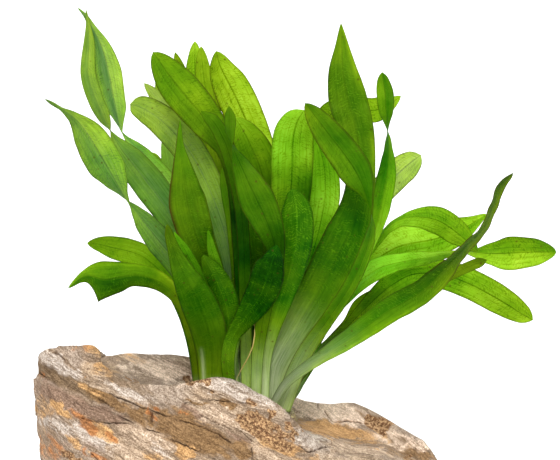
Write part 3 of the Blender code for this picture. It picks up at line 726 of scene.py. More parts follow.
    def shine(self, write: NodeWriter, colour: Socket, normal: Socket) -> Socket:
        """Writes the light that comes through the blade.

        Args:
            write: the material's writer.
            colour: the blade's colour.
            normal: its normal.

        Returns:
            The shader that passes it on.
        """
        through = write.node("ShaderNodeBsdfTranslucent")
        lit = write.node("ShaderNodeGamma")
        write.join(colour, lit.inputs["Color"])
        lit.inputs["Gamma"].default_value = self.thinness
        write.join(lit.outputs["Color"], through.inputs["Color"])
        write.join(normal, through.inputs["Normal"])
        return through.outputs["BSDF"]


LEAF_FINISHES = (
    LeafFinish("leaf_shade", glow=0.45, rim=0.25, rib_shift=-0.03, rung_shift=-0.02,
               midrib_shift=0.05, vein_light=0.22),
    LeafFinish("leaf_deep", glow=0.50, rim=0.35, rib_shift=-0.04, rung_shift=-0.04,
               midrib_shift=-0.04, vein_light=0.19),
    LeafFinish("leaf_mid", glow=0.55, rim=0.45),
    LeafFinish("leaf_olive", glow=0.55, rim=0.70, rib_shift=-0.07, rung_shift=-0.11),
    LeafFinish("leaf_bright", glow=0.60, rim=0.40, rib_shift=-0.14, rung_shift=-0.14,
               midrib_shift=-0.11),
    LeafFinish("leaf_pale", glow=0.62, rim=0.75, rib_shift=-0.13, rung_shift=-0.17,
               midrib_shift=-0.15),
)


@dataclass(frozen=True)
class LeafLook:
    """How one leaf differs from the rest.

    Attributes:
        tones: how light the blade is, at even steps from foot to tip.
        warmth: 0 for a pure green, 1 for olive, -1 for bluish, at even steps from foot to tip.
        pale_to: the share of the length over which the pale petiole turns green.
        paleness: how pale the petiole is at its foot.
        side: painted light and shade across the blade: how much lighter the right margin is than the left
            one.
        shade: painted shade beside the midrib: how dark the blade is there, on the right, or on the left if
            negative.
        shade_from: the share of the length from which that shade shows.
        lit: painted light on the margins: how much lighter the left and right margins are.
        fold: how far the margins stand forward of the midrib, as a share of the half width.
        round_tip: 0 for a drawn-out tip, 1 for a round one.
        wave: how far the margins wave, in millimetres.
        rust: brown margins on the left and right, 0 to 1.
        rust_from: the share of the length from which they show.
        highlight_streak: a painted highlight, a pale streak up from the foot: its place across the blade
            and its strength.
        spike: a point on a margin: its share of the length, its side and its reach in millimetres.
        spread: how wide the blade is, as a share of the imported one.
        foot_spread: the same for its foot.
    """

    tones: tuple[float, ...] = (0.42, 0.45, 0.50, 0.55, 0.58)
    warmth: tuple[float, ...] = (0.5, 0.5)
    pale_to: float = 0.16
    paleness: float = 0.5
    side: float = 0.0
    shade: float = 0.0
    shade_from: float = -1.0
    lit: tuple[float, float] = (0.0, 0.0)
    fold: float = 0.10
    round_tip: float = 0.5
    wave: float = 0.5
    rust: tuple[float, float] = (0.0, 0.0)
    rust_from: float = -1.0
    highlight_streak: tuple[float, float] = (0.0, 0.0)
    spike: tuple[float, float, float] = (0.0, 0.0, 0.0)
    spread: float = 1.0
    foot_spread: float = 1.0


# The leaves' looks, set against the photograph.
LOOKS: dict[str, LeafLook] = {
    "leaf_sweeping_right": LeafLook(
        (0.34, 0.50, 0.60, 0.57, 0.49, 0.43, 0.50, 0.45), (0.9, 0.7, 0.5, 0.5, 0.7, 1.0, 1.0), 0.42, 0.50,
        side=0.03, shade=-0.08, lit=(0.0, 0.10), rust=(0.7, 0.7), rust_from=0.60, foot_spread=0.72),
    "leaf_spoon_front": LeafLook((0.50, 0.44, 0.34, 0.28, 0.28), (0.9, 0.5, 0.1, 0.0, 0.0), 0.14, 0.4),
    "leaf_front_left": LeafLook(
        (0.57, 0.53, 0.43, 0.46, 0.41), (1.0, 0.55, 0.15, 0.3, 0.9), 0.12, 0.35, side=0.02,
        lit=(0.04, 0.0), highlight_streak=(-0.62, 0.75), rust=(1.0, 0.4), rust_from=0.92),
    "leaf_front_veined": LeafLook((0.80, 0.78, 0.46, 0.41, 0.41), (0.7, 0.5, 0.1, 0.2, 0.4), 0.42, 0.9),
    "leaf_drooping_left": LeafLook(
        (0.42, 0.56, 0.62, 0.47, 0.56), (0.9, 0.9, 0.8, 0.5, 0.6), 0.10, 0.3, side=0.08, shade=-0.12,
        shade_from=0.5, lit=(0.0, 0.08), spike=(0.85, -1.0, 4.0)),
    "leaf_brown_edged": LeafLook(
        (0.35, 0.42, 0.46, 0.49, 0.56), (0.5, 0.6, 0.6, 0.6, 0.45), 0.08, 0.2, shade=0.03,
        rust=(1.0, 0.0), rust_from=0.42),
    "leaf_twisted_front": LeafLook((0.70, 0.56, 0.34, 0.47, 0.52), (0.9, 0.6, 0.2, 0.45, 0.6), 0.24, 0.5),
    "leaf_front_middle": LeafLook(
        (0.70, 0.72, 0.46, 0.44, 0.42), (0.8, 0.7, 0.1, 0.15, 0.25), 0.40, 0.75, round_tip=0.9),
    "leaf_folded_over": LeafLook(
        (0.64, 0.60, 0.55, 0.53, 0.54), (1.0, 0.8, 0.25, 0.35, 0.7), 0.30, 0.5, shade=-0.07,
        lit=(0.0, 0.06), rust=(0.4, 0.4), foot_spread=1.5),
    "leaf_tall_right": LeafLook(
        (0.60, 0.52, 0.42, 0.47, 0.61), (0.9, 0.6, 0.2, 0.6, 0.9), 0.33, 0.65, side=0.03, shade=0.05,
        lit=(0.0, 0.10), round_tip=0.2, foot_spread=1.2),
    "leaf_far_left_twisted": LeafLook(
        (0.45, 0.50, 0.56, 0.71, 0.58), (0.3, 0.3, 0.4, 0.6, 0.9), 2.5, 0.12, shade=0.11, side=-0.04),
    "leaf_short_dark": LeafLook(
        (0.68, 0.72, 0.36, 0.38, 0.56), (0.9, 0.6, 0.0, 0.4, 0.6), 0.36, 0.3, spread=1.2, foot_spread=1.5),
    "leaf_upper_left_broad": LeafLook(
        (0.76, 0.66, 0.42, 0.40, 0.33, 0.42, 0.57, 0.60, 0.59), (1.0, 0.4, 0.1, 0.3, 0.7, 0.7, 0.6), 0.26,
        0.35, shade=-0.06),
    "leaf_dark_strap": LeafLook((0.85, 0.72, 0.46, 0.54, 0.58), (0.8, 0.5, 0.35), 0.42, 1.0),
    "leaf_upper_left_low": LeafLook(
        (0.28, 0.24, 0.36, 0.56, 0.72, 0.63, 0.67), (0.0, 0.0, 0.35, 0.8, 0.9), 2.5, 0.15, round_tip=1.0),
    "leaf_left_tall_front": LeafLook(
        (0.40, 0.48, 0.57, 0.64, 0.66), (0.6, 0.5, 0.25, 0.8, 0.9), 2.5, 0.12, shade=0.09),
    "leaf_left_tall_back": LeafLook(
        (0.45, 0.60, 0.76, 0.74, 0.64), (0.8, 0.8, 0.8, 0.1, 0.7, 0.6), 2.5, 0.2, shade=0.27,
        shade_from=0.60, lit=(0.06, 0.06)),
    "leaf_bluish_left": LeafLook((0.50, 0.62, 0.80), (0.45, 0.4), 2.5, 0.25),
    "leaf_bright_sliver": LeafLook((0.52, 0.52, 0.72), (0.0, 0.0)),
    "leaf_middle_bright": LeafLook(
        (0.40, 0.40, 0.40, 0.37, 0.52, 0.82, 0.75), (0.4, 0.4), side=-0.09, round_tip=1.0),
    "leaf_middle_right": LeafLook((0.60, 0.60, 0.56, 0.86, 0.66), (0.1, 0.1, -0.05, 0.4, 0.3), shade=0.05),
    "leaf_dark_middle": LeafLook((0.20, 0.22, 0.28, 0.50, 0.55), (0.1, 0.4)),
    "leaf_upper_middle_dark": LeafLook(
        (0.35, 0.35, 0.42, 0.47, 0.76), (0.5, 0.6, 0.6), shade=-0.04, spread=1.22),
    "leaf_thin_twisted_right": LeafLook(
        (0.78, 0.80, 0.85, 0.57, 0.64), (0.6, 0.4, 0.5, 0.2, 0.7), 0.36, 0.7, side=0.05, shade=-0.10),
    "leaf_small_olive_right": LeafLook((0.50, 0.53), (1.0, 1.0)),
    "leaf_arched_right": LeafLook((0.60, 0.63, 0.71, 0.77, 0.67), (0.4, 0.35, 0.7), shade=-0.08),
    "leaf_long_right": LeafLook(
        (0.74, 0.76, 0.93, 0.74, 0.69), (0.6, 0.0, 0.2, 0.7, 0.7), 0.20, 0.4, side=-0.10, shade=0.09,
        foot_spread=0.85),
    "leaf_right_behind": LeafLook(
        (0.60, 0.66, 0.78, 0.90, 0.76), (0.2, 0.2, 0.5, 0.65, 0.6), shade=0.14, spread=1.26),
    "leaf_lower_right": LeafLook(
        (0.60, 0.56, 0.66, 0.77, 0.76), (0.9, 0.8, 0.3, 0.6, 0.9), 0.30, 0.3, shade=-0.05, foot_spread=0.7),
    "leaf_small_dark_right": LeafLook((0.55, 0.65), (0.7, 0.7), 0.0, 0.0),
    "leaf_over_right": LeafLook((0.50, 0.50, 0.50, 0.63, 0.78), (0.75, 0.8)),
    "leaf_pale_right_upper": LeafLook((0.60, 0.68, 0.74), (0.85, 0.85), 2.5, 0.28),
    "leaf_upper_middle_pale": LeafLook((0.60, 0.72, 0.97, 0.78, 0.75), (0.9, 1.0), side=0.05, spread=1.12),
    "leaf_thin_sliver": LeafLook((0.80, 0.70, 0.65, 0.72), (0.5, 0.1, 0.1), 0.4, 0.6, foot_spread=1.5),
    "leaf_olive_left_small": LeafLook((0.50, 0.67), (1.0, 1.0), 2.5, 0.25),
    "leaf_lower_left": LeafLook((0.50, 0.48, 0.52, 0.76, 0.66), (0.5, 0.2, 0.2, 0.7, 0.8), 0.2, 0.6),
    "leaf_pale_tip_left": LeafLook((0.68, 0.76), (0.8, 0.8)),
    "leaf_pale_gap": LeafLook((0.68, 0.76), (0.8, 0.8)),
    "leaf_back_grey": LeafLook((0.30, 0.33, 0.31, 0.61, 0.75), (0.95, 0.95)),
    "leaf_back_pale": LeafLook((0.50, 0.60, 0.77), (0.75, 0.75)),
    "leaf_pale_vertical": LeafLook((0.55, 0.66, 0.74), (0.8, 0.8)),
    "leaf_back_tip": LeafLook((0.60, 0.61), (0.9, 0.9)),
}


def eased(s: np.ndarray, step: np.ndarray, ends: Sequence[np.ndarray], slopes: Sequence[np.ndarray],
          ) -> np.ndarray:
    """A cubic stretch of a curve.

    Args:
        s: the place on the stretch, 0 to 1.
        step: the stretch's length.
        ends: the values at its two ends.
        slopes: the curve's slopes there.

    Returns:
        The values at s.
    """
    return ((2 * s**3 - 3 * s**2 + 1) * ends[0] + (s**3 - 2 * s**2 + s) * step * slopes[0]
            + (3 * s**2 - 2 * s**3) * ends[1] + (s**3 - s**2) * step * slopes[1])


def smooth_through(knots: np.ndarray, values: np.ndarray, at: np.ndarray) -> np.ndarray:
    """A smooth curve through values.

    Args:
        knots: the length along the curve of each value, rising.
        values: one row for each knot.
        at: the lengths to read it at.

    Returns:
        One row for each of at.
    """
    slopes = np.gradient(values, knots, axis=0)
    i = np.clip(np.searchsorted(knots, at, side="right") - 1, 0, len(knots) - 2)
    step = knots[i + 1] - knots[i]
    s = ((at - knots[i]) / step)[:, None]
    return eased(s, step[:, None], (values[i], values[i + 1]), (slopes[i], slopes[i + 1]))


def monotone_through(knots: np.ndarray, values: np.ndarray, at: np.ndarray) -> np.ndarray:
    """A smooth curve through single values that never swings past them.

    Args:
        knots: the length along the curve of each value, rising.
        values: one number for each knot.
        at: the lengths to read it at.

    Returns:
        One number for each of at.
    """
    spans = np.diff(knots)
    rises = np.diff(values) / spans
    slopes = np.zeros(len(values))
    same = rises[:-1] * rises[1:] > 0
    both = np.where(same, rises[:-1] + rises[1:], 1.0)
    slopes[1:-1] = np.where(same, 2 * rises[:-1] * rises[1:] / both, 0.0)
    slopes[0], slopes[-1] = rises[0], rises[-1]
    i = np.clip(np.searchsorted(knots, at, side="right") - 1, 0, len(spans) - 1)
    s = (at - knots[i]) / spans[i]
    return eased(s, spans[i], (values[i], values[i + 1]), (slopes[i], slopes[i + 1]))


def step_up(values: np.ndarray, start: float, width: float) -> np.ndarray:
    """A straight step: 0 up to a start, and 1 from a width beyond it."""
    return np.clip((values - start) / width, 0.0, 1.0)


def inside_box(points: np.ndarray, inset: float = 0.0) -> np.ndarray:
    """Points in metres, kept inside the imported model's box."""
    return np.clip(points, np.array(CAD_BOX[0]) + inset, np.array(CAD_BOX[1]) - inset)


def merged_copy(node: str) -> bmesh.types.BMesh:
    """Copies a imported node's mesh, with its loose triangles merged.

    Args:
        node: the node's name.

    Returns:
        A new bmesh.
    """
    bm = bmesh.new()
    bm.from_mesh(frame["nodes"][node].data)
    bmesh.ops.remove_doubles(bm, verts=bm.verts, dist=1e-6)
    bmesh.ops.recalc_face_normals(bm, faces=bm.faces)
    bm.verts.ensure_lookup_table()
    return bm


def finer(node: str, cuts: int, smoothing: float) -> bmesh.types.BMesh:
    """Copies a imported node's mesh with finer faces and its facets rounded off.

    Args:
        node: the node's name.
        cuts: how often each edge is cut.
        smoothing: how far each vertex moves towards its neighbours, 0 to 1.

    Returns:
        A new bmesh.
    """
    bm = merged_copy(node)
    bmesh.ops.subdivide_edges(bm, edges=bm.edges, cuts=cuts, use_grid_fill=True)
    bmesh.ops.smooth_vert(bm, verts=bm.verts, factor=smoothing, use_axis_x=True, use_axis_y=True,
                          use_axis_z=True)
    bm.normal_update()
    return bm


@dataclass
class LeafRings:
    """A leaf's cross-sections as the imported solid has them, from foot to tip, in millimetres.

    Each section has a point at its left, front, right and back, and the leaf ends in one point.
    """

    left: np.ndarray
    front: np.ndarray
    right: np.ndarray
    back: np.ndarray
    tip: np.ndarray

    @classmethod
    def of(cls, node: str) -> "LeafRings":
        """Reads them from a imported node.

        Args:
            node: the leaf's name.

        Returns:
            Its sections.
        """
        bm = merged_copy(node)
        lowest = min(bm.verts, key=lambda v: v.co.z)
        for start in (v for v in bm.verts if len(v.link_edges) == 4):
            layers = cls.layers_from(start)
            if len(layers[-1]) == 4 and lowest in layers[-1] and {len(x) for x in layers[1:]} == {4}:
                break
        rows = [list(layer) for layer in layers[:0:-1]]
        foot = rows[0]
        pairs = [(a, b) for a in foot for b in foot if a.co.x < b.co.x]
        left, right = max(pairs, key=lambda p: (p[0].co - p[1].co).length)
        front, back = sorted((v for v in foot if v not in (left, right)), key=lambda v: v.co.y)
        lines = [[left], [front], [right], [back]]
        for row in rows[1:]:
            l0, f0, r0, b0 = (line[-1] for line in lines)
            ends = [v for v in row if not (cls.joined(v, f0) or cls.joined(v, b0))]
            lines[0].append(next(v for v in ends if cls.joined(v, l0)))
            lines[2].append(next(v for v in ends if cls.joined(v, r0)))
            lines[1].append(next(v for v in row if cls.joined(v, f0)))
            lines[3].append(next(v for v in row if cls.joined(v, b0)))
        arrays = [np.array([v.co[:] for v in line]) / MM for line in lines]
        tip = np.array(layers[0].pop().co[:]) / MM
        bm.free()
        return cls(*arrays, tip)

    @staticmethod
    def joined(first: bmesh.types.BMVert, second: bmesh.types.BMVert) -> bool:
        """Whether an edge joins two vertices."""
        return any(edge.other_vert(first) is second for edge in first.link_edges)

    @staticmethod
    def layers_from(start: bmesh.types.BMVert) -> list[set]:
        """Sorts a mesh's vertices by how many edges away from one of them they are.

        Args:
            start: that vertex.

        Returns:
            A set of vertices for each number of edges, from 0 up.
        """
        layers, known = [{start}], {start}
        while True:
            near = {e.other_vert(v) for v in layers[-1] for e in v.link_edges} - known
            if not near:
                return layers
            known |= near
            layers.append(near)


@dataclass
class Blade:
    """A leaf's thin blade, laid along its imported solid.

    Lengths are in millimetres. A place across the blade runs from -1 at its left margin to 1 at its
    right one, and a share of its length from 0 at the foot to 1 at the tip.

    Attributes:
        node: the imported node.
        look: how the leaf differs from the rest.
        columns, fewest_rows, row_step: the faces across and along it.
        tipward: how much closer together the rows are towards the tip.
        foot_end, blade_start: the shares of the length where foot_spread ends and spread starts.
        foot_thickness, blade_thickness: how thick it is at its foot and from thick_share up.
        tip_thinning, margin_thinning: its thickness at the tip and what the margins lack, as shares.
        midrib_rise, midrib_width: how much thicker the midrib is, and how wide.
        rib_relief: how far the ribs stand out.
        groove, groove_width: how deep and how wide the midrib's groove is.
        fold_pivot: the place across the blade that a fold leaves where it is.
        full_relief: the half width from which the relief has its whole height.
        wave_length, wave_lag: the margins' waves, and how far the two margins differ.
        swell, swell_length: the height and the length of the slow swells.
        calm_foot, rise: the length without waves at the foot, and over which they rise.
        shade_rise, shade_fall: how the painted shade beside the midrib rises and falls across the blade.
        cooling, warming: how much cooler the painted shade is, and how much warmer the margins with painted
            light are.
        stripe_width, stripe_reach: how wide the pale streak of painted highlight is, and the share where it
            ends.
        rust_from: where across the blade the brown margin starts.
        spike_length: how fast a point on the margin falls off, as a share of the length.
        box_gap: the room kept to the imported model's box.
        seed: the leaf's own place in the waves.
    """

    node: str
    look: LeafLook
    columns: int = 16
    fewest_rows: int = 24
    row_step: float = 1.3
    tipward: float = 0.35
    foot_end: float = 0.12
    blade_start: float = 0.30
    foot_thickness: float = 1.3
    blade_thickness: float = 0.42
    thick_share: float = 0.22
    tip_thinning: float = 0.7
    margin_thinning: float = 0.5
    midrib_rise: float = 0.22
    midrib_width: float = 0.12
    rib_relief: float = 0.03
    groove: float = 0.10
    groove_width: float = 0.10
    fold_pivot: float = 0.4
    full_relief: float = 7.0
    wave_length: float = 21.0
    wave_lag: float = 1.1
    swell: float = 0.30
    swell_length: float = 11.0
    calm_foot: float = 18.0
    rise: float = 30.0
    shade_rise: float = 0.06
    shade_fall: float = 0.7
    cooling: float = 2.6
    warming: float = 2.0
    stripe_width: float = 0.11
    stripe_reach: float = 0.24
    rust_from: float = 0.72
    spike_length: float = 0.022
    box_gap: float = 0.3
    seed: float = field(init=False)

    def __post_init__(self) -> None:
        """Gives the leaf its own place in the waves."""
        self.seed = 7.3 * (1 + sorted(SLOTS).index(self.node))

    def surface(self, rings: LeafRings) -> None:
        """Works out the blade's middle sheet as rows of points from foot to tip.

        Args:
            rings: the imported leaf's cross-sections.
        """
        middle = (rings.front + rings.back) / 2
        half = (rings.right - rings.left) / 2
        width = np.linalg.norm(half, axis=1)
        sideways = half / width[:, None]
        curl = ((rings.left + rings.right) / 2 - middle) / width[:, None]
        spine = np.vstack([middle, rings.tip])
        knots = np.concatenate([[0.0], np.cumsum(np.linalg.norm(np.diff(spine, axis=0), axis=1))])
        self.reach = float(knots[-1])
        self.at = self.row_places()
        self.width = self.widths(knots, np.append(width, 0.0))
        self.spine = smooth_through(knots, spine, self.at)
        ends = np.vstack([np.hstack([sideways, curl]), np.hstack([sideways[-1], curl[-1]])])
        both = smooth_through(knots, ends, self.at)
        self.sideways = both[:, :3] / np.linalg.norm(both[:, :3], axis=1)[:, None]
        self.curl = both[:, 3:]
        forward = np.gradient(self.spine, axis=0)
        facing = np.cross(self.sideways, forward)
        self.facing = facing / np.linalg.norm(facing, axis=1)[:, None]

    def row_places(self) -> np.ndarray:
        """Spaces out the rows of points.

        Returns:
            The length from the foot to each row.
        """
        rows = max(self.fewest_rows, int(self.reach / self.row_step))
        share = np.linspace(0.0, 1.0, rows + 1)
        share = share + self.tipward * (share**3 - share**4) * (1 - share)
        return self.reach * np.clip(share, 0.0, 1.0)

    def widths(self, knots: np.ndarray, width: np.ndarray) -> np.ndarray:
        """The blade's half width at each row, rounded off at the tip as its look asks.

        Args:
            knots: the length from the foot to each cross-section.
            width: the half width there.

        Returns:
            One number for each row.
        """
        power = 1.0 + self.look.round_tip
        smooth = np.maximum(monotone_through(knots, width**power, self.at), 0.0) ** (1.0 / power)
        spreads = [self.look.foot_spread, self.look.foot_spread, self.look.spread]
        return smooth * np.interp(self.at / self.reach, [0.0, self.foot_end, self.blade_start], spreads)

    def relief(self, u: np.ndarray, row: np.ndarray) -> np.ndarray:
        """How far each point stands off the middle sheet.

        Args:
            u: the place across the blade of each point.
            row: its row.

        Returns:
            One number for each point.
        """
        length, width, out = self.at[row], self.width[row], np.abs(u)
        room = np.clip(width / self.full_relief, 0.0, 1.0)
        ribs = self.rib_relief * np.cos(2 * RIBS_A_HALF * math.pi * u) * (1 - u**2)
        dip = self.groove * np.exp(-((u / self.groove_width) ** 2))
        dip = dip - self.look.fold * width * (out - self.fold_pivot)
        side = np.sign(u)
        turn = 2 * math.pi * length / self.wave_length + self.seed + side * self.wave_lag
        slow = np.sin(turn) + 0.5 * np.sin(2.3 * turn + 1.7 * side)
        wave = self.look.wave * slow * out**2.5
        swell = np.sin(length / self.swell_length + self.seed) * np.cos(2.2 * u + self.seed) * self.swell
        late = np.clip(length / self.rise - self.calm_foot / self.rise, 0.0, 1.0)
        return (ribs + dip) * room + (wave + swell) * room * late

    def thickness(self, u: np.ndarray, row: np.ndarray) -> np.ndarray:
        """The blade's thickness at each point.

        Args:
            u: the place across the blade of each point.
            row: its row.

        Returns:
            One number for each point.
        """
        share = self.at[row] / self.reach
        full = np.interp(share, [0.0, self.thick_share, 1.0],
                         [self.foot_thickness, self.blade_thickness,
                          self.tip_thinning * self.blade_thickness])
        midrib = self.midrib_rise * np.exp(-((u / self.midrib_width) ** 2)) * (1 - share)
        return np.minimum(full * (1 - self.margin_thinning * u**2) + midrib, self.foot_thickness)

    def numbers(self, u: np.ndarray, row: np.ndarray) -> dict[str, np.ndarray]:
        """The numbers that the finish reads from the mesh.

        Args:
            u: the place across the blade of each point.
            row: its row.

        Returns:
            One array of numbers for each name.
        """
        look, share = self.look, self.at[row] / self.reach
        # Painted shade beside the midrib (dark) and painted light on the margins (lit). Both go into tone
        # and warmth, with the painted light across the blade (side).
        dark = self.shade(u, share)
        lit = step_up(np.abs(u), 0.5, 0.5) * self.by_side(u, look.lit)
        rim = step_up(np.abs(u), self.rust_from, 1.0 - self.rust_from) ** 2
        rim = rim * step_up(share, look.rust_from, 0.08)
        return {"across": u, "length": self.at[row] * MM,
                "tone": self.along(look.tones, share) + look.side * u - dark + lit,
                "warmth": self.along(look.warmth, share) - self.cooling * dark + self.warming * lit,
                "pale": self.paleness(u, share), "rust": rim * self.by_side(u, look.rust)}

    def shade(self, u: np.ndarray, share: np.ndarray) -> np.ndarray:
        """How much painted shade darkens the blade beside its midrib.

        Args:
            u: the place across the blade of each point.
            share: its share of the length.

        Returns:
            One number for each point.
        """
        beside = np.clip(u * np.sign(self.look.shade), 0.0, 1.0)
        dark = np.abs(self.look.shade) * step_up(beside, 0.0, self.shade_rise)
        dark = dark * (1.0 - beside) ** self.shade_fall
        return dark * (beside > 0) * step_up(share, self.look.shade_from, 0.12)

    def paleness(self, u: np.ndarray, share: np.ndarray) -> np.ndarray:
        """How much of the petiole's colour the foot has, and the painted highlight streak above it.

        Args:
            u: the place across the blade of each point.
            share: its share of the length.

        Returns:
            One number for each point.
        """
        fade = np.clip(1 - share / max(self.look.pale_to, 0.01), 0.0, 1.0)
        pale = self.look.paleness * fade * fade * (3.0 - 2.0 * fade) * (1.0 - 0.45 * np.abs(u) ** 1.5)
        # The painted highlight: a pale streak up from the foot.
        place, strength = self.look.highlight_streak
        highlight_streak = strength * np.exp(-(((u - place) / self.stripe_width) ** 2))
        return np.maximum(pale, highlight_streak * np.sqrt(np.clip(1 - share / self.stripe_reach, 0, 1)))

    @staticmethod
    def by_side(u: np.ndarray, values: tuple[float, float]) -> np.ndarray:
        """The first value on the blade's left half and the second on its right half."""
        return np.where(u < 0, values[0], values[1])

    @staticmethod
    def along(values: Sequence[float], share: np.ndarray) -> np.ndarray:
        """Reads values given at even steps from foot to tip."""
        return np.interp(share, np.linspace(0.0, 1.0, len(values)), values)

    def points(self, u: np.ndarray, row: np.ndarray) -> np.ndarray:
        """Where each point of the middle sheet lies.

        Args:
            u: the place across the blade of each point.
            row: its row.

        Returns:
            Places in metres, one a row.
        """
        place, side, reach = self.look.spike
        spike = reach * np.exp(-np.abs(self.at[row] / self.reach - place) / self.spike_length)
        spike = spike * np.clip(u * side, 0.0, 1.0) ** 2
        across = (u * self.width[row] + np.sign(side) * spike)[:, None]
        points = (self.spine[row] + across * self.sideways[row]
                  + (u**2 * self.width[row])[:, None] * self.curl[row]
                  + self.relief(u, row)[:, None] * self.facing[row])
        return inside_box(points * MM, self.box_gap * MM)

    def build(self, material: bpy.types.Material) -> bpy.types.Object:
        """Models the blade and puts it in the leaf's place.

        Args:
            material: its finish.

        Returns:
            The finished piece.
        """
        self.surface(LeafRings.of(self.node))
        rows = len(self.at) - 1
        bm = bmesh.new()
        bmesh.ops.create_grid(bm, x_segments=self.columns, y_segments=rows, size=1.0)
        bm.verts.ensure_lookup_table()
        flat = np.array([v.co[:2] for v in bm.verts])
        u = flat[:, 0]
        row = np.rint((flat[:, 1] + 1) / 2 * rows).astype(int)
        for vertex, point in zip(bm.verts, self.points(u, row)):
            vertex.co = point
        write_numbers(bm, self.numbers(u, row))
        weight = bm.verts.layers.deform.verify()
        for vertex, value in zip(bm.verts, self.thickness(u, row) / self.foot_thickness):
            vertex[weight][0] = float(value)
        bmesh.ops.remove_doubles(bm, verts=[v for v, r in zip(bm.verts, row) if r == rows], dist=1e-5)
        piece = shown(self.node + "_blade", self.node, bm, material)
        piece.vertex_groups.new(name="thickness")
        wall = piece.modifiers.new("wall", "SOLIDIFY")
        wall.thickness = self.foot_thickness * MM
        wall.offset = 0.0
        wall.vertex_group = "thickness"
        return piece


def write_numbers(bm: bmesh.types.BMesh, numbers: dict[str, np.ndarray]) -> None:
    """Writes numbers into a mesh, for its finish to read.

    Args:
        bm: the mesh.
        numbers: one number for each vertex, for each name.
    """
    layers = {name: bm.verts.layers.float.new(name) for name in numbers}
    for name, layer in layers.items():
        for vertex, value in zip(bm.verts, numbers[name]):
            vertex[layer] = float(value)


def shown(name: str, node: str, bm: bmesh.types.BMesh, material: bpy.types.Material) -> bpy.types.Object:
    """Makes a piece from a bmesh, in a node's place, with its finish.

    Args:
        name: the piece's name.
        node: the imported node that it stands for.
        bm: its shape in metres, freed here.
        material: its finish.

    Returns:
        The piece.
    """
    mesh = bpy.data.meshes.new(name)
    bm.to_mesh(mesh)
    bm.free()
    mesh.materials.append(material)
    mesh.shade_smooth()
    piece = bpy.data.objects.new(name, mesh)
    bpy.context.scene.collection.objects.link(piece)
    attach(piece, BODY)
    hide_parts(node)
    LOG.info("%s: %d faces", name, len(mesh.polygons))
    return piece


@dataclass(frozen=True)
class CrownFinish:
    """The pale rootstock: brown to cream, with dark specks."""

    slot: str = "crown"
    mottle_scale: float = 1.6
    tones: Stops = (
        (0.34, (0.12, 0.08, 0.03)), (0.50, (0.30, 0.24, 0.10)), (0.68, (0.56, 0.50, 0.28)))
    specks: Colour = (0.10, 0.055, 0.015)
    speck_strength: float = 0.8
    relief: float = 0.0004
    roughness: float = 0.55

    def material(self, effects: Effects) -> bpy.types.Material:
        """Writes the material.

        Args:
            effects: the node groups.

        Returns:
            The material.
        """
        made, write, shader, _ = blank_material(self.slot)
        mottle = write.effect(effects.mottle, Place=write.place(), Scale=self.mottle_scale)
        colour = write.ramp(mottle["Patches"], self.tones)
        colour = write.mix(write.times(mottle["Specks"], self.speck_strength), colour, self.specks)
        write.join(colour, shader.inputs["Base Color"])
        write.join(write.bump(mottle["Grain"], self.relief), shader.inputs["Normal"])
        shader.inputs["Roughness"].default_value = self.roughness
        return made


@dataclass(frozen=True)
class StalkFinish:
    """The dry old stalk: brown-yellow, pale green at its foot."""

    slot: str = "stalk"
    mottle_scale: float = 3.0
    brown: Colour = (0.24, 0.15, 0.03)
    straw: Colour = (0.46, 0.38, 0.10)
    foot: Colour = (0.45, 0.60, 0.28)
    relief: float = 0.0001
    roughness: float = 0.6

    def material(self, effects: Effects) -> bpy.types.Material:
        """Writes the material.

        Args:
            effects: the node groups.

        Returns:
            The material.
        """
        made, write, shader, _ = blank_material(self.slot)
        mottle = write.effect(effects.mottle, Place=write.place(), Scale=self.mottle_scale)
        dry = write.mix(mottle["Patches"], self.brown, self.straw)
        write.join(write.mix(write.attribute("pale"), dry, self.foot), shader.inputs["Base Color"])
        write.join(write.bump(mottle["Grain"], self.relief), shader.inputs["Normal"])
        shader.inputs["Roughness"].default_value = self.roughness
        return made


class Tint(Enum):
    """The stone's tints, each with its colour. The grey one is painted shade under the ledges, the pale one
    is painted light where the stone lies in shade, and the white one is whitish flakes and also painted
    highlights along lit edges.
    """

    CREAM = (0.43, 0.33, 0.24)
    # Whitish flakes, and painted highlights along lit edges.
    WHITE = (0.44, 0.385, 0.335)
    # Painted light where the stone lies in shade.
    PALE = (0.72, 0.58, 0.46)
    # Painted shade under the ledges.
    GREY = (0.15, 0.10, 0.055)
    MAUVE = (0.20, 0.13, 0.09)
    TAN = (0.19, 0.11, 0.045)
    OCHRE = (0.44, 0.26, 0.11)
    RUST = (0.34, 0.145, 0.05)
    DARK = (0.12, 0.055, 0.025)


@dataclass(frozen=True)
class Patch:
    """A place on the stone, by where it shows in the photograph, in pixels.

    Attributes:
        column, row: its middle.
        length, height: half its size along and across the beds.
        strength: how fully a tint covers it. Above 1 the tint breaks up less at the rim.
        slope: how steeply it falls to the right, in degrees.
    """

    column: float
    row: float
    length: float
    height: float
    strength: float = 1.0
    slope: float = 22.0

    def share(self, pixels: np.ndarray) -> np.ndarray:
        """How much of it lies on each place.

        Args:
            pixels: the places, as pairs of a column and a row.

        Returns:
            One number from 0 to 1 for each place.
        """
        turn = math.radians(self.slope)
        across, down = pixels[:, 0] - self.column, pixels[:, 1] - self.row
        along = np.abs(across * math.cos(turn) + down * math.sin(turn)) / self.length
        over = np.abs(down * math.cos(turn) - across * math.sin(turn)) / self.height
        return np.clip(1.5 - (along**3 + over**3) ** (1 / 3), 0.0, 1.0)


TINT_RELIEF = {
    Tint.CREAM: 0.2, Tint.WHITE: 0.4, Tint.PALE: 0.0, Tint.GREY: -0.6, Tint.MAUVE: -0.3,
    Tint.TAN: -0.5, Tint.OCHRE: 0.0, Tint.RUST: -0.3, Tint.DARK: -0.5,
}
SWELLS = (
    (3.0, Patch(46, 360, 9, 9, slope=0.0)),
    (4.0, Patch(92, 354, 13, 7, slope=0.0)),
)
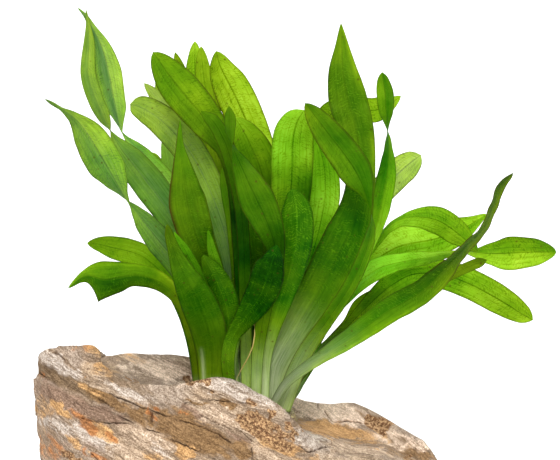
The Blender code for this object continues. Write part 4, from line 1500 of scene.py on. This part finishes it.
# The patches of each tint, set against the photograph.
BLOTCHES: dict[Tint, tuple[Patch, ...]] = {
    Tint.CREAM: (
        Patch(148, 440, 30, 12, 1.05, 24), Patch(222, 418, 34, 9, 1.2), Patch(128, 452, 12, 8, 1.0, 40),
        Patch(258, 452, 14, 8, 1.0, 20), Patch(350, 448, 30, 8, 0.9, 10),
    ),
    # Whitish flakes, and painted highlights along lit edges.
    Tint.WHITE: (
        Patch(236, 386, 40, 14, 0.95, 20), Patch(62, 366, 20, 6, 1.4, 42), Patch(55, 425, 16, 5, 1.2, 20),
        Patch(92, 438, 22, 10, 1.2, 30), Patch(128, 392, 26, 4, 0.9), Patch(160, 449, 14, 5, 0.8),
        Patch(305, 436, 22, 8, 1.0, 15),
    ),
    # Painted light where the stone lies in shade.
    Tint.PALE: (
        Patch(146, 438, 26, 6, 0.25, 24), Patch(226, 416, 30, 5, 0.4), Patch(330, 409, 36, 11, 1.5, 12),
        Patch(298, 402, 12, 7, 1.2, 12), Patch(160, 369, 46, 12, 0.85, 8), Patch(408, 444, 24, 8, 1.0, 24),
        Patch(352, 420, 20, 4, 0.9, 12), Patch(378, 439, 20, 5, 0.8, 10), Patch(196, 417, 18, 3, 0.6, 25),
    ),
    # Painted shade under the ledges.
    Tint.GREY: (
        Patch(50, 374, 22, 6, 1.4, 34), Patch(78, 388, 24, 6, 1.4, 24), Patch(128, 385, 22, 3, 0.7, 20),
        Patch(399, 441, 12, 4, 0.6, 12),
    ),
    Tint.MAUVE: (
        Patch(70, 402, 36, 9, 1.3, 26), Patch(108, 415, 22, 6, 1.2, 24), Patch(189, 412, 9, 5, 1.3, 35),
        Patch(95, 447, 14, 5, 0.9, 30), Patch(238, 437, 16, 5, 0.9, 24),
    ),
    Tint.TAN: (
        Patch(108, 401, 18, 5, 1.4, 26), Patch(138, 414, 14, 8, 1.5, 24), Patch(192, 433, 38, 14, 1.6, 25),
        Patch(241, 451, 12, 9, 1.5, 20), Patch(197, 401, 12, 2, 1.0, 4), Patch(229, 404, 9, 3.5, 1.3, 8),
        Patch(360, 411, 9, 5, 0.6, 65), Patch(416, 454, 24, 5, 0.9, 8),
    ),
    Tint.OCHRE: (
        Patch(128, 359, 24, 6, 0.5, 4), Patch(59, 409, 13, 4, 1.5, 42), Patch(46, 409, 11, 12, 0.7, 60),
        Patch(100, 429, 18, 7, 1.2, 28), Patch(93, 352, 14, 6, 0.8, 20), Patch(108, 372, 18, 6, 0.7, 30),
        Patch(84, 388, 14, 3, 0.7, 26), Patch(77, 444, 10, 4, 1.0, 45), Patch(150, 456, 10, 4, 0.8, 20),
        Patch(183, 453, 9, 8, 1.1, 40), Patch(288, 449, 24, 7, 1.3), Patch(340, 431, 38, 7, 1.2, 12),
    ),
    Tint.RUST: (
        Patch(84, 423, 14, 5, 1.3, 40), Patch(52, 449, 16, 11, 0.8, 35), Patch(82, 350, 9, 4, 0.5, 20),
        Patch(38, 372, 8, 2.5, 0.9, 34), Patch(96, 458, 8, 4, 1.0, 30), Patch(110, 435, 7, 3, 0.9, 40),
        Patch(151, 414, 6, 2.5, 1.4, 80), Patch(177, 411, 3, 2, 0.9),
    ),
    Tint.DARK: (
        Patch(195, 379, 11, 2.5, 1.3, -4), Patch(212, 391, 2.5, 1.5, 1.0), Patch(264, 427, 16, 9, 1.3, 28),
        Patch(268, 416, 8, 4, 1.1, 100), Patch(290, 430, 9, 5, 1.1, -38), Patch(282, 445, 16, 5, 0.9, 24),
        Patch(256, 405, 6, 3, 0.7, 20), Patch(380, 425, 15, 8, 1.0), Patch(85, 375, 2.5, 1.8, 1.0),
        Patch(134, 381, 2, 1.5, 1.0), Patch(409, 458, 5, 2, 1.0, 0), Patch(70, 457, 8, 4, 1.0, 30),
    ),
}


@dataclass(frozen=True)
class Crack:
    """A crack of the stone, by where it shows in the photograph, in pixels."""

    half_width: float
    line: tuple[tuple[float, float], ...]

    def gap(self, pixels: np.ndarray) -> np.ndarray:
        """How far each place is from the crack.

        Args:
            pixels: the places, as pairs of a column and a row.

        Returns:
            One number for each place, in half widths of the crack.
        """
        nearest = np.full(len(pixels), np.inf)
        path = np.array(self.line, float)
        for start, end in zip(path, path[1:]):
            along = end - start
            share = np.clip((pixels - start) @ along / (along @ along), 0.0, 1.0)
            away = np.linalg.norm(pixels - start - share[:, None] * along, axis=1)
            nearest = np.minimum(nearest, away)
        return nearest / self.half_width


CRACKS = (
    Crack(0.7, ((34, 370), (41, 375), (48, 379))),
    Crack(0.5, ((93, 396), (105, 403), (120, 413))),
    Crack(0.7, ((110, 393), (118, 398), (131, 402), (143, 408), (152, 411), (165, 415), (177, 419),
                (183, 421), (195, 423), (208, 428), (219, 433), (231, 442))),
    Crack(1.4, ((148, 409), (151, 414), (151, 421))),
    Crack(0.6, ((118, 416), (137, 425), (160, 434), (172, 441), (184, 446), (205, 455), (216, 460))),
    Crack(0.5, ((82, 418), (94, 421), (107, 423), (127, 423), (139, 429))),
    Crack(0.5, ((55, 353), (61, 357), (67, 363))),
    Crack(0.6, ((197, 385), (206, 388), (214, 392))),
    Crack(0.4, ((184, 402), (200, 399), (214, 399), (228, 401), (250, 403))),
    Crack(0.4, ((200, 413), (212, 420), (225, 425), (250, 430))),
    Crack(0.8, ((90, 454), (99, 461))),
    Crack(0.6, ((284, 439), (292, 441), (298, 444), (304, 447), (308, 451), (315, 450), (322, 447),
                (332, 445), (332, 440))),
    Crack(0.7, ((252, 447), (253, 461))),
    Crack(0.6, ((317, 400), (318, 407))),
    Crack(0.6, ((324, 410), (330, 419), (334, 422), (348, 421), (363, 423))),
    Crack(0.5, ((408, 450), (438, 451))),
    Crack(0.5, ((230, 428), (243, 431), (252, 440))),
)


@dataclass(frozen=True)
class StoneNoise:
    """The noises that the stone's colour and relief are made of.

    Attributes:
        where: the place on the stone.
        grain, coarse: fine and coarse lines along the beds.
        crumbs: fine noise the same in every direction.
        plain: how strong they all are, lower at the calm back of the stone.
    """

    where: Socket
    grain: Socket
    coarse: Socket
    crumbs: Socket
    plain: Socket


@dataclass(frozen=True)
class StoneFinish:
    """Petrified wood: fine straight grain, thin cracks, pits, and patches of other tints, some of them
    painted shade, painted light and painted highlights.

    A scale is a noise's waves to the metre.

    Attributes:
        slot: the material's slot.
        warp_scale, warp: how the beds wave, and how far in metres.
        stretch: how much of X and Y counts beside the height above the beds.
        grain_scale, coarse_scale, crumb_scale, lump_scale: the sizes of the noises.
        calming: how much weaker the noises are at the back.
        lumps, shadows: from where to where the warm colour and the painted shade come in.
        base, warm, shaded, pitted, crack: the colours of the ground, of its painted shade, of the pits'
            rims and of the cracks.
        coarse_break, grain_break, crumb_break, patch_break: how each noise breaks up the tints.
        patch_scale: the size of the last one.
        break_middle: what is taken off their sum.
        full_cover, pitted_cover: the sum that gives full cover, lower for harder edges.
        hole_scale, holes: the holes in the pitted patches.
        line_marks, fleck_marks: from where to where grain and crumbs turn light.
        line_dark, line_light, fleck_dark, fleck_light: what they multiply the colour by.
        split_level: the coarse noise's value along a fine split.
        split, split_breaks, split_strength: the splits' edges, their breaks and their strength.
        pit_scale, pits, pit_strength: the same for small pits.
        crack_marks, crack_strength: the same for the large cracks that the mesh carries.
        relief: what a height of 1 is in metres.
        roughness, gloss: the shader's own values.
    """

    slot: str = "stone"
    warp_scale: float = 24.0
    warp: float = 0.006
    stretch: tuple[float, float] = (0.10, 0.14)
    grain_scale: float = 1500.0
    coarse_scale: float = 330.0
    crumb_scale: float = 1300.0
    lump_scale: float = 30.0
    calming: float = 0.35
    lumps: Window = (0.42, 0.60)
    shadows: Window = (0.56, 0.36)
    base: Colour = (0.335, 0.27, 0.215)
    warm: Colour = (0.36, 0.27, 0.185)
    shaded: Colour = (0.245, 0.18, 0.125)
    pitted: Colour = (0.41, 0.26, 0.13)
    crack: Colour = (0.09, 0.046, 0.025)
    coarse_break: float = 2.8
    grain_break: float = 1.3
    crumb_break: float = 0.6
    patch_break: float = 0.7
    patch_scale: float = 260.0
    break_middle: float = 1.7
    full_cover: float = 1.0
    pitted_cover: float = 0.6
    hole_scale: float = 760.0
    holes: Window = (0.55, 0.46)
    line_marks: Window = (0.34, 0.66)
    line_dark: Colour = (0.66, 0.62, 0.58)
    line_light: Colour = (1.26, 1.26, 1.26)
    fleck_marks: Window = (0.36, 0.64)
    fleck_dark: Colour = (0.62, 0.56, 0.50)
    fleck_light: Colour = (1.32, 1.32, 1.32)
    split_level: float = 0.47
    split: Window = (0.012, 0.003)
    split_breaks: Window = (0.42, 0.52)
    split_strength: float = 0.45
    pit_scale: float = 620.0
    pits: Window = (0.66, 0.72)
    pit_strength: float = 0.7
    crack_marks: Window = (0.2, 1.0)
    crack_strength: float = 0.8
    relief: float = 0.0009
    roughness: float = 0.9
    gloss: float = 0.2

    def material(self) -> bpy.types.Material:
        """Writes the material.

        Returns:
            The material.
        """
        made, write, shader, _ = blank_material(self.slot)
        noises = self.noises(write)
        colour = self.stained(write, noises, self.ground(write, noises))
        colour = self.grained(write, noises, colour)
        marks = self.marks(write, noises)
        write.join(write.mix(marks, colour, self.crack), shader.inputs["Base Color"])
        height = write.total(write.times(noises.grain, 0.45), noises.coarse,
                             write.times(noises.crumbs, 0.35))
        height = write.times(write.minus(height, write.times(marks, 0.6)), noises.plain)
        write.join(write.bump(height, self.relief), shader.inputs["Normal"])
        shader.inputs["Roughness"].default_value = self.roughness
        shader.inputs["Specular IOR Level"].default_value = self.gloss
        return made

    def noises(self, write: NodeWriter) -> StoneNoise:
        """Writes the noises, some of them drawn out along the beds.

        Args:
            write: the material's writer.

        Returns:
            The noises.
        """
        where = write.place()
        height = write.node("ShaderNodeVectorMath", operation="DOT_PRODUCT")
        write.join(where, height.inputs[0])
        height.inputs[1].default_value = BEDDING
        warp = write.times(write.swing(write.noise(where, self.warp_scale, 3.0)), self.warp)
        parts = write.node("ShaderNodeSeparateXYZ")
        write.join(where, parts.inputs[0])
        beds = write.node("ShaderNodeCombineXYZ")
        write.join(write.times(parts.outputs["X"], self.stretch[0]), beds.inputs["X"])
        write.join(write.times(parts.outputs["Y"], self.stretch[1]), beds.inputs["Y"])
        write.join(write.add(height.outputs["Value"], warp), beds.inputs["Z"])
        return StoneNoise(
            where,
            grain=write.noise(beds.outputs[0], self.grain_scale, 4.0, 0.7),
            coarse=write.noise(beds.outputs[0], self.coarse_scale, 4.0, 0.65),
            crumbs=write.noise(where, self.crumb_scale, 3.0, 0.7),
            plain=write.minus(1.0, write.times(write.attribute("calm"), self.calming)))

    def ground(self, write: NodeWriter, noises: StoneNoise) -> Socket:
        """Writes the stone's colour, warmer in lumps, with painted shade where the coarse relief between
        the beds is low.

        Args:
            write: the material's writer.
            noises: the stone's noises.

        Returns:
            The colour.
        """
        lumps = write.noise(noises.where, self.lump_scale, 3.0, 0.6)
        colour = write.mix(write.between(lumps, *self.lumps), self.base, self.warm)
        # Painted shade: the shaded colour where the coarse relief is low.
        shadows = write.times(write.between(noises.coarse, *self.shadows), noises.plain)
        return write.mix(shadows, colour, self.shaded)

    def stained(self, write: NodeWriter, noises: StoneNoise, colour: Socket) -> Socket:
        """Writes the tinted patches over a colour, the pitted ones last. Among them are painted shade,
        painted light and painted highlights.

        Args:
            write: the material's writer.
            noises: the stone's noises.
            colour: the colour under them.

        Returns:
            The colour with them.
        """
        patches = write.noise(noises.where, self.patch_scale, 4.0, 0.65)
        break_up = write.total(write.times(noises.coarse, self.coarse_break),
                               write.times(noises.grain, self.grain_break),
                               write.times(noises.crumbs, self.crumb_break),
                               write.times(patches, self.patch_break))
        break_up = write.minus(break_up, self.break_middle)
        for tint in (t for t in Tint if t is not Tint.DARK):
            cover = self.frayed(write, tint, break_up, self.full_cover)
            colour = write.mix(cover, colour, tint.value)
        cover = self.frayed(write, Tint.DARK, break_up, self.pitted_cover)
        holes = write.between(write.noise(noises.where, self.hole_scale, 3.0, 0.7), *self.holes)
        colour = write.mix(cover, colour, self.pitted)
        return write.mix(write.times(cover, holes), colour, Tint.DARK.value)

    @staticmethod
    def frayed(write: NodeWriter, tint: Tint, break_up: Socket, full: float) -> Socket:
        """Writes how far a patch's tint covers the stone, crumbling towards its edges.

        Args:
            write: the material's writer.
            tint: the tint, whose attribute of the same name marks its patches.
            break_up: the noise that breaks the patch up, about 1 on the whole.
            full: how much of the sum gives full cover, lower for harder edges.

        Returns:
            The share of the tint, 0 to 1.
        """
        patch = write.attribute(tint.name.lower())
        rough = write.times(write.minus(break_up, 1.0), 0.9)
        cover = write.between(write.add(patch, rough), 0.25, full)
        return write.times(write.times(cover, write.between(patch, 0.02, 0.25)), 0.92)

    def grained(self, write: NodeWriter, noises: StoneNoise, colour: Socket) -> Socket:
        """Writes fine lines and flecks into a colour.

        Args:
            write: the material's writer.
            noises: the stone's noises.
            colour: the colour without them.

        Returns:
            The colour with them.
        """
        lined = write.mix(write.between(noises.grain, *self.line_marks), self.line_dark, self.line_light)
        colour = write.mix(noises.plain, colour, write.mix(1.0, colour, lined, "MULTIPLY"))
        flecked = write.mix(write.between(noises.crumbs, *self.fleck_marks),
                            self.fleck_dark, self.fleck_light)
        return write.mix(noises.plain, colour, write.mix(1.0, colour, flecked, "MULTIPLY"))

    def marks(self, write: NodeWriter, noises: StoneNoise) -> Socket:
        """Writes the fine splits, the small pits and the large cracks.

        Args:
            write: the material's writer.
            noises: the stone's noises.

        Returns:
            How deep and dark a place is, 0 to 1.
        """
        contour = write.absolute(write.minus(noises.coarse, self.split_level))
        split = write.times(write.between(contour, *self.split),
                            write.between(noises.crumbs, *self.split_breaks))
        pits = write.between(write.noise(noises.where, self.pit_scale, 3.0, 0.6), *self.pits)
        small = write.larger(write.times(split, self.split_strength),
                             write.times(pits, self.pit_strength))
        uneven = write.add(0.45, write.times(noises.coarse, 1.1))
        crack = write.between(write.times(write.attribute("crack"), uneven), *self.crack_marks)
        return write.larger(write.times(small, noises.plain), write.times(crack, self.crack_strength))


DRIFT_STARTS = (Vector((31.4, 0.0, 0.0)), Vector((0.0, 57.9, 0.0)), Vector((0.0, 0.0, 83.1)))


def drift(points: np.ndarray, size: float) -> np.ndarray:
    """A smooth random direction at each point, the same at each run.

    Args:
        points: the places in millimetres.
        size: the length over which it changes, in millimetres.

    Returns:
        One direction a row, each of its parts from -1 to 1.
    """
    return np.array([[noise.noise(Vector(p) / size + start) for start in DRIFT_STARTS] for p in points])


@dataclass
class StoneSkin:
    """The stone's surface before it is worn, one row or number for each vertex.

    Attributes:
        points: where it is, in millimetres.
        normals: which way it faces.
        pixels: where it shows in the photograph.
        facing: how far it faces the camera, 0 to 1.
        calm: how plain it is, 0 in front and 1 at the back.
        fine: a random direction that changes every few millimetres.
    """

    points: np.ndarray
    normals: np.ndarray
    pixels: np.ndarray
    facing: np.ndarray
    calm: np.ndarray
    fine: np.ndarray


@dataclass
class Stone:
    """The stone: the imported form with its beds, cracks and pits worn into it.

    Lengths are in millimetres, unless they are pixels of the photograph.

    Attributes:
        node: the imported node.
        first_cuts, smoothings, passes: how its faces are made finer.
        base_height: the height up to which nothing moves, so that the underside stays flat.
        front_from: the height from which the front is made fine.
        front_edge, other_edge, crack_edge: how long its edges are in front, elsewhere, at cracks.
        crack_reach: how far from a crack its edges are short, in pixels.
        thick_bed, thin_bed, bed_depth: the beds' thickness, and how far they stand out.
        bed_wave: how far the beds wave, and over what length.
        bed_step: the part of a bed's thickness over which it passes into the next.
        lumps: the height and the length of rounder forms.
        crown_room: half the hollow's length along X and Y, in which the stone stays low.
        crown_depth: how deep the skin lies there.
        crack_depth, grit, pit_depth: how deep cracks are, and how high and deep small forms are.
        calm_from, calm_rise: where along Y the stone gets plain, and over what length.
        calm_share, flat_share, left_share: how much of the beds' relief is missing at the back,
            on faces along the beds, and on faces to the left.
        fraying: how far the patches' rims are shaken along the beds, in pixels.
        bed_slope: the beds' fall to the right in the photograph, in degrees.
        longest: how many times its wanted length an edge may be before it is cut.
        least_facing: how far a place has to face the camera to count as in front.
        fine_length: the length over which the small random shifts change.
        fray_lengths, finer_fray: over what lengths the rims' shakes change, and how strong the
            shorter ones are.
        fray_narrower: how many times less the rims are shaken across the beds.
        crack_shake, crack_rim: how far a crack strays in pixels, and where it fades out.
        crack_change, crack_open: over what length a crack opens and closes, and how far.
    """

    node: str = "stone"
    first_cuts: int = 3
    smoothings: int = 1
    passes: int = 3
    base_height: float = 1.5
    front_from: float = 20.0
    front_edge: float = 1.0
    other_edge: float = 2.6
    crack_edge: float = 0.42
    crack_reach: float = 2.6
    thick_bed: float = 7.5
    thin_bed: float = 2.4
    bed_depth: float = 2.2
    bed_wave: tuple[float, float] = (1.6, 38.0)
    bed_step: float = 0.16
    lumps: tuple[tuple[float, float], ...] = ((0.8, 12.0), (0.35, 4.2))
    crown_room: tuple[float, float] = (34.0, 28.0)
    crown_depth: tuple[float, float] = (-0.6, -0.2)
    crack_depth: float = 1.4
    grit: float = 0.2
    pit_depth: float = 1.0
    calm_from: float = 12.0
    calm_rise: float = 10.0
    calm_share: float = 0.55
    flat_share: float = 0.85
    left_share: float = 0.85
    fraying: float = 14.0
    bed_slope: float = 24.0
    longest: float = 1.4
    least_facing: float = 0.05
    fine_length: float = 1.6
    fray_lengths: tuple[float, float] = (7.0, 2.8)
    finer_fray: float = 0.6
    fray_narrower: float = 5.0
    crack_shake: float = 0.9
    crack_rim: float = 1.3
    crack_change: float = 9.0
    crack_open: tuple[float, float] = (0.9, 1.3)

    def refined(self) -> bmesh.types.BMesh:
        """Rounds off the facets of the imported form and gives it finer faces.

        Returns:
            The mesh, finest at the cracks.
        """
        bm = merged_copy(self.node)
        bmesh.ops.subdivide_edges(bm, edges=bm.edges, cuts=self.first_cuts, use_grid_fill=True)
        for _ in range(self.smoothings):
            free = [v for v in bm.verts if v.co.z > self.base_height * MM]
            bmesh.ops.smooth_vert(bm, verts=free, factor=0.5, use_axis_x=True, use_axis_y=True,
                                  use_axis_z=True)
        self.into_triangles(bm)
        for _ in range(self.passes):
            bm.normal_update()
            wanted = self.spacing(bm)
            bm.verts.index_update()
            wide = [e for e in bm.edges
                    if e.calc_length() > self.longest * MM * min(wanted[v.index] for v in e.verts)]
            bmesh.ops.subdivide_edges(bm, edges=wide, cuts=1)
            self.into_triangles(bm)
        bmesh.ops.recalc_face_normals(bm, faces=bm.faces)
        bm.normal_update()
        bm.verts.ensure_lookup_table()
        return bm

    @staticmethod
    def into_triangles(bm: bmesh.types.BMesh) -> None:
        """Cuts the larger faces into triangles."""
        large = [f for f in bm.faces if len(f.verts) > 3]
        bmesh.ops.triangulate(bm, faces=large, quad_method="SHORT_EDGE", ngon_method="EAR_CLIP")

    def spacing(self, bm: bmesh.types.BMesh) -> np.ndarray:
        """How long the edges may be at each vertex.

        Args:
            bm: the mesh so far.

        Returns:
            One length for each vertex.
        """
        points = np.array([v.co[:] for v in bm.verts]) / MM
        facing = np.array([v.normal[:] for v in bm.verts]) @ SIGHT.back()
        shown = facing > self.least_facing
        front = shown & (points[:, 2] > self.front_from)
        wanted = np.where(front, self.front_edge, self.other_edge)
        pixels = SIGHT.seen(points)
        gap = np.min([line.gap(pixels) * line.half_width for line in CRACKS], axis=0)
        return np.where(shown & (gap < self.crack_reach), self.crack_edge, wanted)

    def skin(self, bm: bmesh.types.BMesh) -> StoneSkin:
        """Reads the surface of a mesh.

        Args:
            bm: the refined form.

        Returns:
            Its surface.
        """
        points = np.array([v.co[:] for v in bm.verts]) / MM
        normals = np.array([v.normal[:] for v in bm.verts])
        return StoneSkin(
            points, normals, SIGHT.seen(points),
            facing=np.clip((normals @ SIGHT.back()) * 3.0, 0.0, 1.0),
            calm=step_up(points[:, 1], self.calm_from, self.calm_rise),
            fine=drift(points, self.fine_length))

    def covers(self, skin: StoneSkin) -> dict[Tint, np.ndarray]:
        """How strongly each tint covers each vertex, with the patches' rims shaken.

        Args:
            skin: the stone's surface.

        Returns:
            One array of numbers for each tint.
        """
        slow, quick = (drift(skin.points, length) for length in self.fray_lengths)
        ragged = slow + self.finer_fray * quick
        turn = math.radians(self.bed_slope)
        shaken = skin.pixels + np.outer(ragged[:, 0] * self.fraying, [math.cos(turn), math.sin(turn)])
        across = ragged[:, 1] * self.fraying / self.fray_narrower
        shaken += np.outer(across, [-math.sin(turn), math.cos(turn)])
        return {tint: np.max([patch.strength * patch.share(shaken) for patch in patches], axis=0)
                for tint, patches in BLOTCHES.items()}

    def cracked(self, skin: StoneSkin) -> np.ndarray:
        """How deep in a crack each vertex is. The cracks open and close on their way.

        Args:
            skin: the surface as it is so far.

        Returns:
            One number from 0 to 1 for each vertex.
        """
        strayed = skin.pixels + self.crack_shake * skin.fine[:, :2]
        gap = np.min([line.gap(strayed) for line in CRACKS], axis=0)
        slow = np.array([noise.noise(Vector(p) / self.crack_change) for p in skin.points])
        least, swing = self.crack_open
        opened = np.clip(least + swing * slow, 0.0, 1.0)
        return np.clip(self.crack_rim - gap, 0.0, 1.0) * opened * skin.facing

    def worn(self, points: np.ndarray) -> np.ndarray:
        """How far the beds stand out or back.

        Args:
            points: the places.

        Returns:
            One length for each place.
        """
        normal = np.array(BEDDING) / np.linalg.norm(BEDDING)
        wave, wave_length = self.bed_wave
        out = np.zeros(len(points))
        for k, point in enumerate(points):
            p = Vector(point)
            height = float(normal @ point) + wave * noise.noise(p / wave_length)
            depth = 0.0
            for step, size in ((self.thick_bed, self.bed_depth), (self.thin_bed, 0.3 * self.bed_depth)):
                bed = height / step + 0.25 * noise.noise(p / (2.4 * step))
                low = math.floor(bed)
                here = noise.cell(Vector((low, step, 0.5)))
                following = noise.cell(Vector((low + 1, step, 0.5)))
                part = min(1.0, max(0.0, (bed - low - (1.0 - self.bed_step)) / self.bed_step))
                depth += size * ((1 - part) * here + part * following - 0.5)
            for size, length in self.lumps:
                depth += size * noise.noise(p / length)
            out[k] = depth
        return out

    def depth(self, skin: StoneSkin, covers: dict[Tint, np.ndarray], crack: np.ndarray) -> np.ndarray:
        """How far each vertex moves out or in.

        Args:
            skin: the stone's surface.
            covers: how strongly each tint covers each vertex.
            crack: how deep in a crack each vertex is.

        Returns:
            One length for each vertex.
        """
        relief = 1.0 - self.flat_share * np.abs(skin.normals @ np.array(BEDDING))
        relief *= 1.0 - self.left_share * np.clip(-skin.normals[:, 0], 0.0, 1.0)
        depth = self.worn(skin.points) * relief * (1.0 - self.calm_share * skin.calm)
        depth += self.grit * skin.fine[:, 2] * (1.0 - skin.calm)
        depth += skin.facing * sum(TINT_RELIEF[tint] * np.minimum(covers[tint], 1.0) for tint in Tint)
        depth -= skin.facing * covers[Tint.DARK] * self.pit_depth * np.clip(skin.fine[:, 0], 0.0, 1.0)
        shown_side = np.clip((skin.normals @ SIGHT.back() + 0.5) * 2.5, 0.0, 1.0)
        depth += shown_side * sum(rise * swell.share(skin.pixels) for rise, swell in SWELLS)
        depth -= self.crack_depth * crack
        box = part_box("crown")
        middle = (np.array(box[0]) + np.array(box[1]))[:2] / 2 / MM
        away = np.hypot(*((skin.points[:, :2] - middle) / np.array(self.crown_room)).T)
        hollow = (skin.normals[:, 2] > 0.3) & (away < 1.15)
        depth = np.where(hollow, np.clip(depth, *self.crown_depth), depth)
        return depth * step_up(skin.points[:, 2], self.base_height, 3.0)

    def build(self, material: bpy.types.Material) -> bpy.types.Object:
        """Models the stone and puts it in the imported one's place.

        Args:
            material: its finish.

        Returns:
            The finished piece.
        """
        bm = self.refined()
        skin = self.skin(bm)
        covers, crack = self.covers(skin), self.cracked(skin)
        depth = self.depth(skin, covers, crack)
        moved = inside_box((skin.points + skin.normals * depth[:, None]) * MM)
        for vertex, place in zip(bm.verts, moved):
            vertex.co = place
        numbers = {tint.name.lower(): cover for tint, cover in covers.items()}
        write_numbers(bm, {**numbers, "crack": crack, "calm": skin.calm})
        return shown("stone_beds", self.node, bm, material)


@dataclass
class Crown:
    """The rootstock that the leaves rise from, with a rough skin.

    Lengths are in millimetres.

    Attributes:
        node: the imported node.
        cuts, smoothing: how its faces are made finer and rounded off.
        lumps: the height and the length of its uneven forms.
        inset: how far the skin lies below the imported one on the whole.
    """

    node: str = "crown"
    cuts: int = 3
    smoothing: float = 0.3
    lumps: tuple[tuple[float, float], ...] = ((1.0, 5.0), (0.5, 1.8))
    inset: float = 0.9

    def build(self, material: bpy.types.Material) -> bpy.types.Object:
        """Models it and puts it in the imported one's place.

        Args:
            material: its finish.

        Returns:
            The finished piece.
        """
        bm = finer(self.node, self.cuts, self.smoothing)
        for vertex in bm.verts:
            p = vertex.co / MM
            depth = sum(height * noise.noise(p / length) for height, length in self.lumps) - self.inset
            vertex.co = vertex.co + vertex.normal * depth * MM
        return shown("crown_mound", self.node, bm, material)


@dataclass
class Stalk:
    """The dry stalk of an old leaf.

    Attributes:
        node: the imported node.
        cuts, smoothing: how its faces are made finer and rounded off.
        slimming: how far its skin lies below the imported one, in millimetres.
        pale_share: how fast its pale foot turns brown, in stalks.
    """

    node: str = "old_stalk"
    cuts: int = 3
    smoothing: float = 0.5
    slimming: float = 0.18
    pale_share: float = 2.2

    def build(self, material: bpy.types.Material) -> bpy.types.Object:
        """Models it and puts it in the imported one's place.

        Args:
            material: its finish.

        Returns:
            The finished piece.
        """
        bm = finer(self.node, self.cuts, self.smoothing)
        low, high = (corner[2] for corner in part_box(self.node))
        layer = bm.verts.layers.float.new("pale")
        for vertex in bm.verts:
            vertex.co = vertex.co - vertex.normal * self.slimming * MM
            vertex[layer] = max(0.0, 1.0 - self.pale_share * (vertex.co.z - low) / (high - low))
        return shown("old_stalk_dry", self.node, bm, material)


@dataclass
class Studio:
    """The floor, the sun, the world and the camera.

    Attributes:
        floor_size: the floor's width in metres.
        floor_tone, floor_roughness: the floor's finish.
        world_strength: how bright the white surroundings are.
        sun_strength, sun_softness: the sun's strength, and its width in degrees.
        sun_place: the direction that it shines from.
        sensor_width: the camera's sensor, in millimetres.
        far_clip: how far the camera sees, in metres.
    """

    floor_size: float = 40.0
    floor_tone: float = 0.93
    floor_roughness: float = 0.9
    world_strength: float = 1.05
    sun_strength: float = 3.2
    sun_softness: float = 25.0
    sun_place: tuple[float, float, float] = (-0.05, -0.70, 0.80)
    sensor_width: float = 36.0
    far_clip: float = 100.0

    def floor(self) -> None:
        """Lays a wide pale floor."""
        bm = bmesh.new()
        bmesh.ops.create_grid(bm, x_segments=1, y_segments=1, size=self.floor_size / 2)
        mesh = bpy.data.meshes.new("floor")
        bm.to_mesh(mesh)
        bm.free()
        made, _, shader, _ = blank_material("floor_white")
        shader.inputs["Base Color"].default_value = (self.floor_tone,) * 3 + (1.0,)
        shader.inputs["Roughness"].default_value = self.floor_roughness
        mesh.materials.append(made)
        piece = bpy.data.objects.new("floor", mesh)
        bpy.context.scene.collection.objects.link(piece)

    def sun(self) -> None:
        """Puts up one wide soft light, above and in front."""
        data = bpy.data.lights.new("sun", "SUN")
        data.energy, data.angle = self.sun_strength, math.radians(self.sun_softness)
        made = bpy.data.objects.new("sun", data)
        made.rotation_euler = (-Vector(self.sun_place)).to_track_quat("-Z", "Y").to_euler()
        bpy.context.scene.collection.objects.link(made)

    def camera(self) -> None:
        """Puts up the camera of the photograph."""
        data = bpy.data.cameras.new("camera")
        data.sensor_width = self.sensor_width
        data.lens = self.sensor_width * SIGHT.distance / SIGHT.view_width
        data.clip_end = self.far_clip
        made = bpy.data.objects.new("camera", data)
        made.location = Vector(SIGHT.eye()) * MM
        made.rotation_euler = Vector(-SIGHT.back()).to_track_quat("-Z", "Y").to_euler()
        bpy.context.scene.collection.objects.link(made)
        bpy.context.scene.camera = made

    def build(self) -> None:
        """Puts everything up."""
        world = bpy.data.worlds.new("studio")
        world.use_nodes = True
        back = world.node_tree.nodes["Background"]
        back.inputs["Color"].default_value = (1.0, 1.0, 1.0, 1.0)
        back.inputs["Strength"].default_value = self.world_strength
        bpy.context.scene.world = world
        bpy.context.scene.view_settings.view_transform = "Standard"
        self.floor()
        self.sun()
        self.camera()


def look_of(node: str) -> LeafLook:
    """The look of a leaf, or the plain one for a leaf that the photograph doesn't show."""
    return LOOKS.get(node, LeafLook())


def main() -> None:
    """Builds every piece in order, then the studio."""
    logging.basicConfig(level=logging.INFO, format="%(message)s")
    effects = Effects()
    finishes = {finish.slot: finish.material(effects) for finish in LEAF_FINISHES}
    Stone().build(StoneFinish().material())
    Crown().build(CrownFinish().material(effects))
    Stalk().build(StalkFinish().material(effects))
    for node in sorted(n for n in SLOTS if n.startswith("leaf_")):
        Blade(node, look_of(node)).build(finishes[SLOTS[node]])
    Studio().build()


if __name__ == "__main__":
    main()
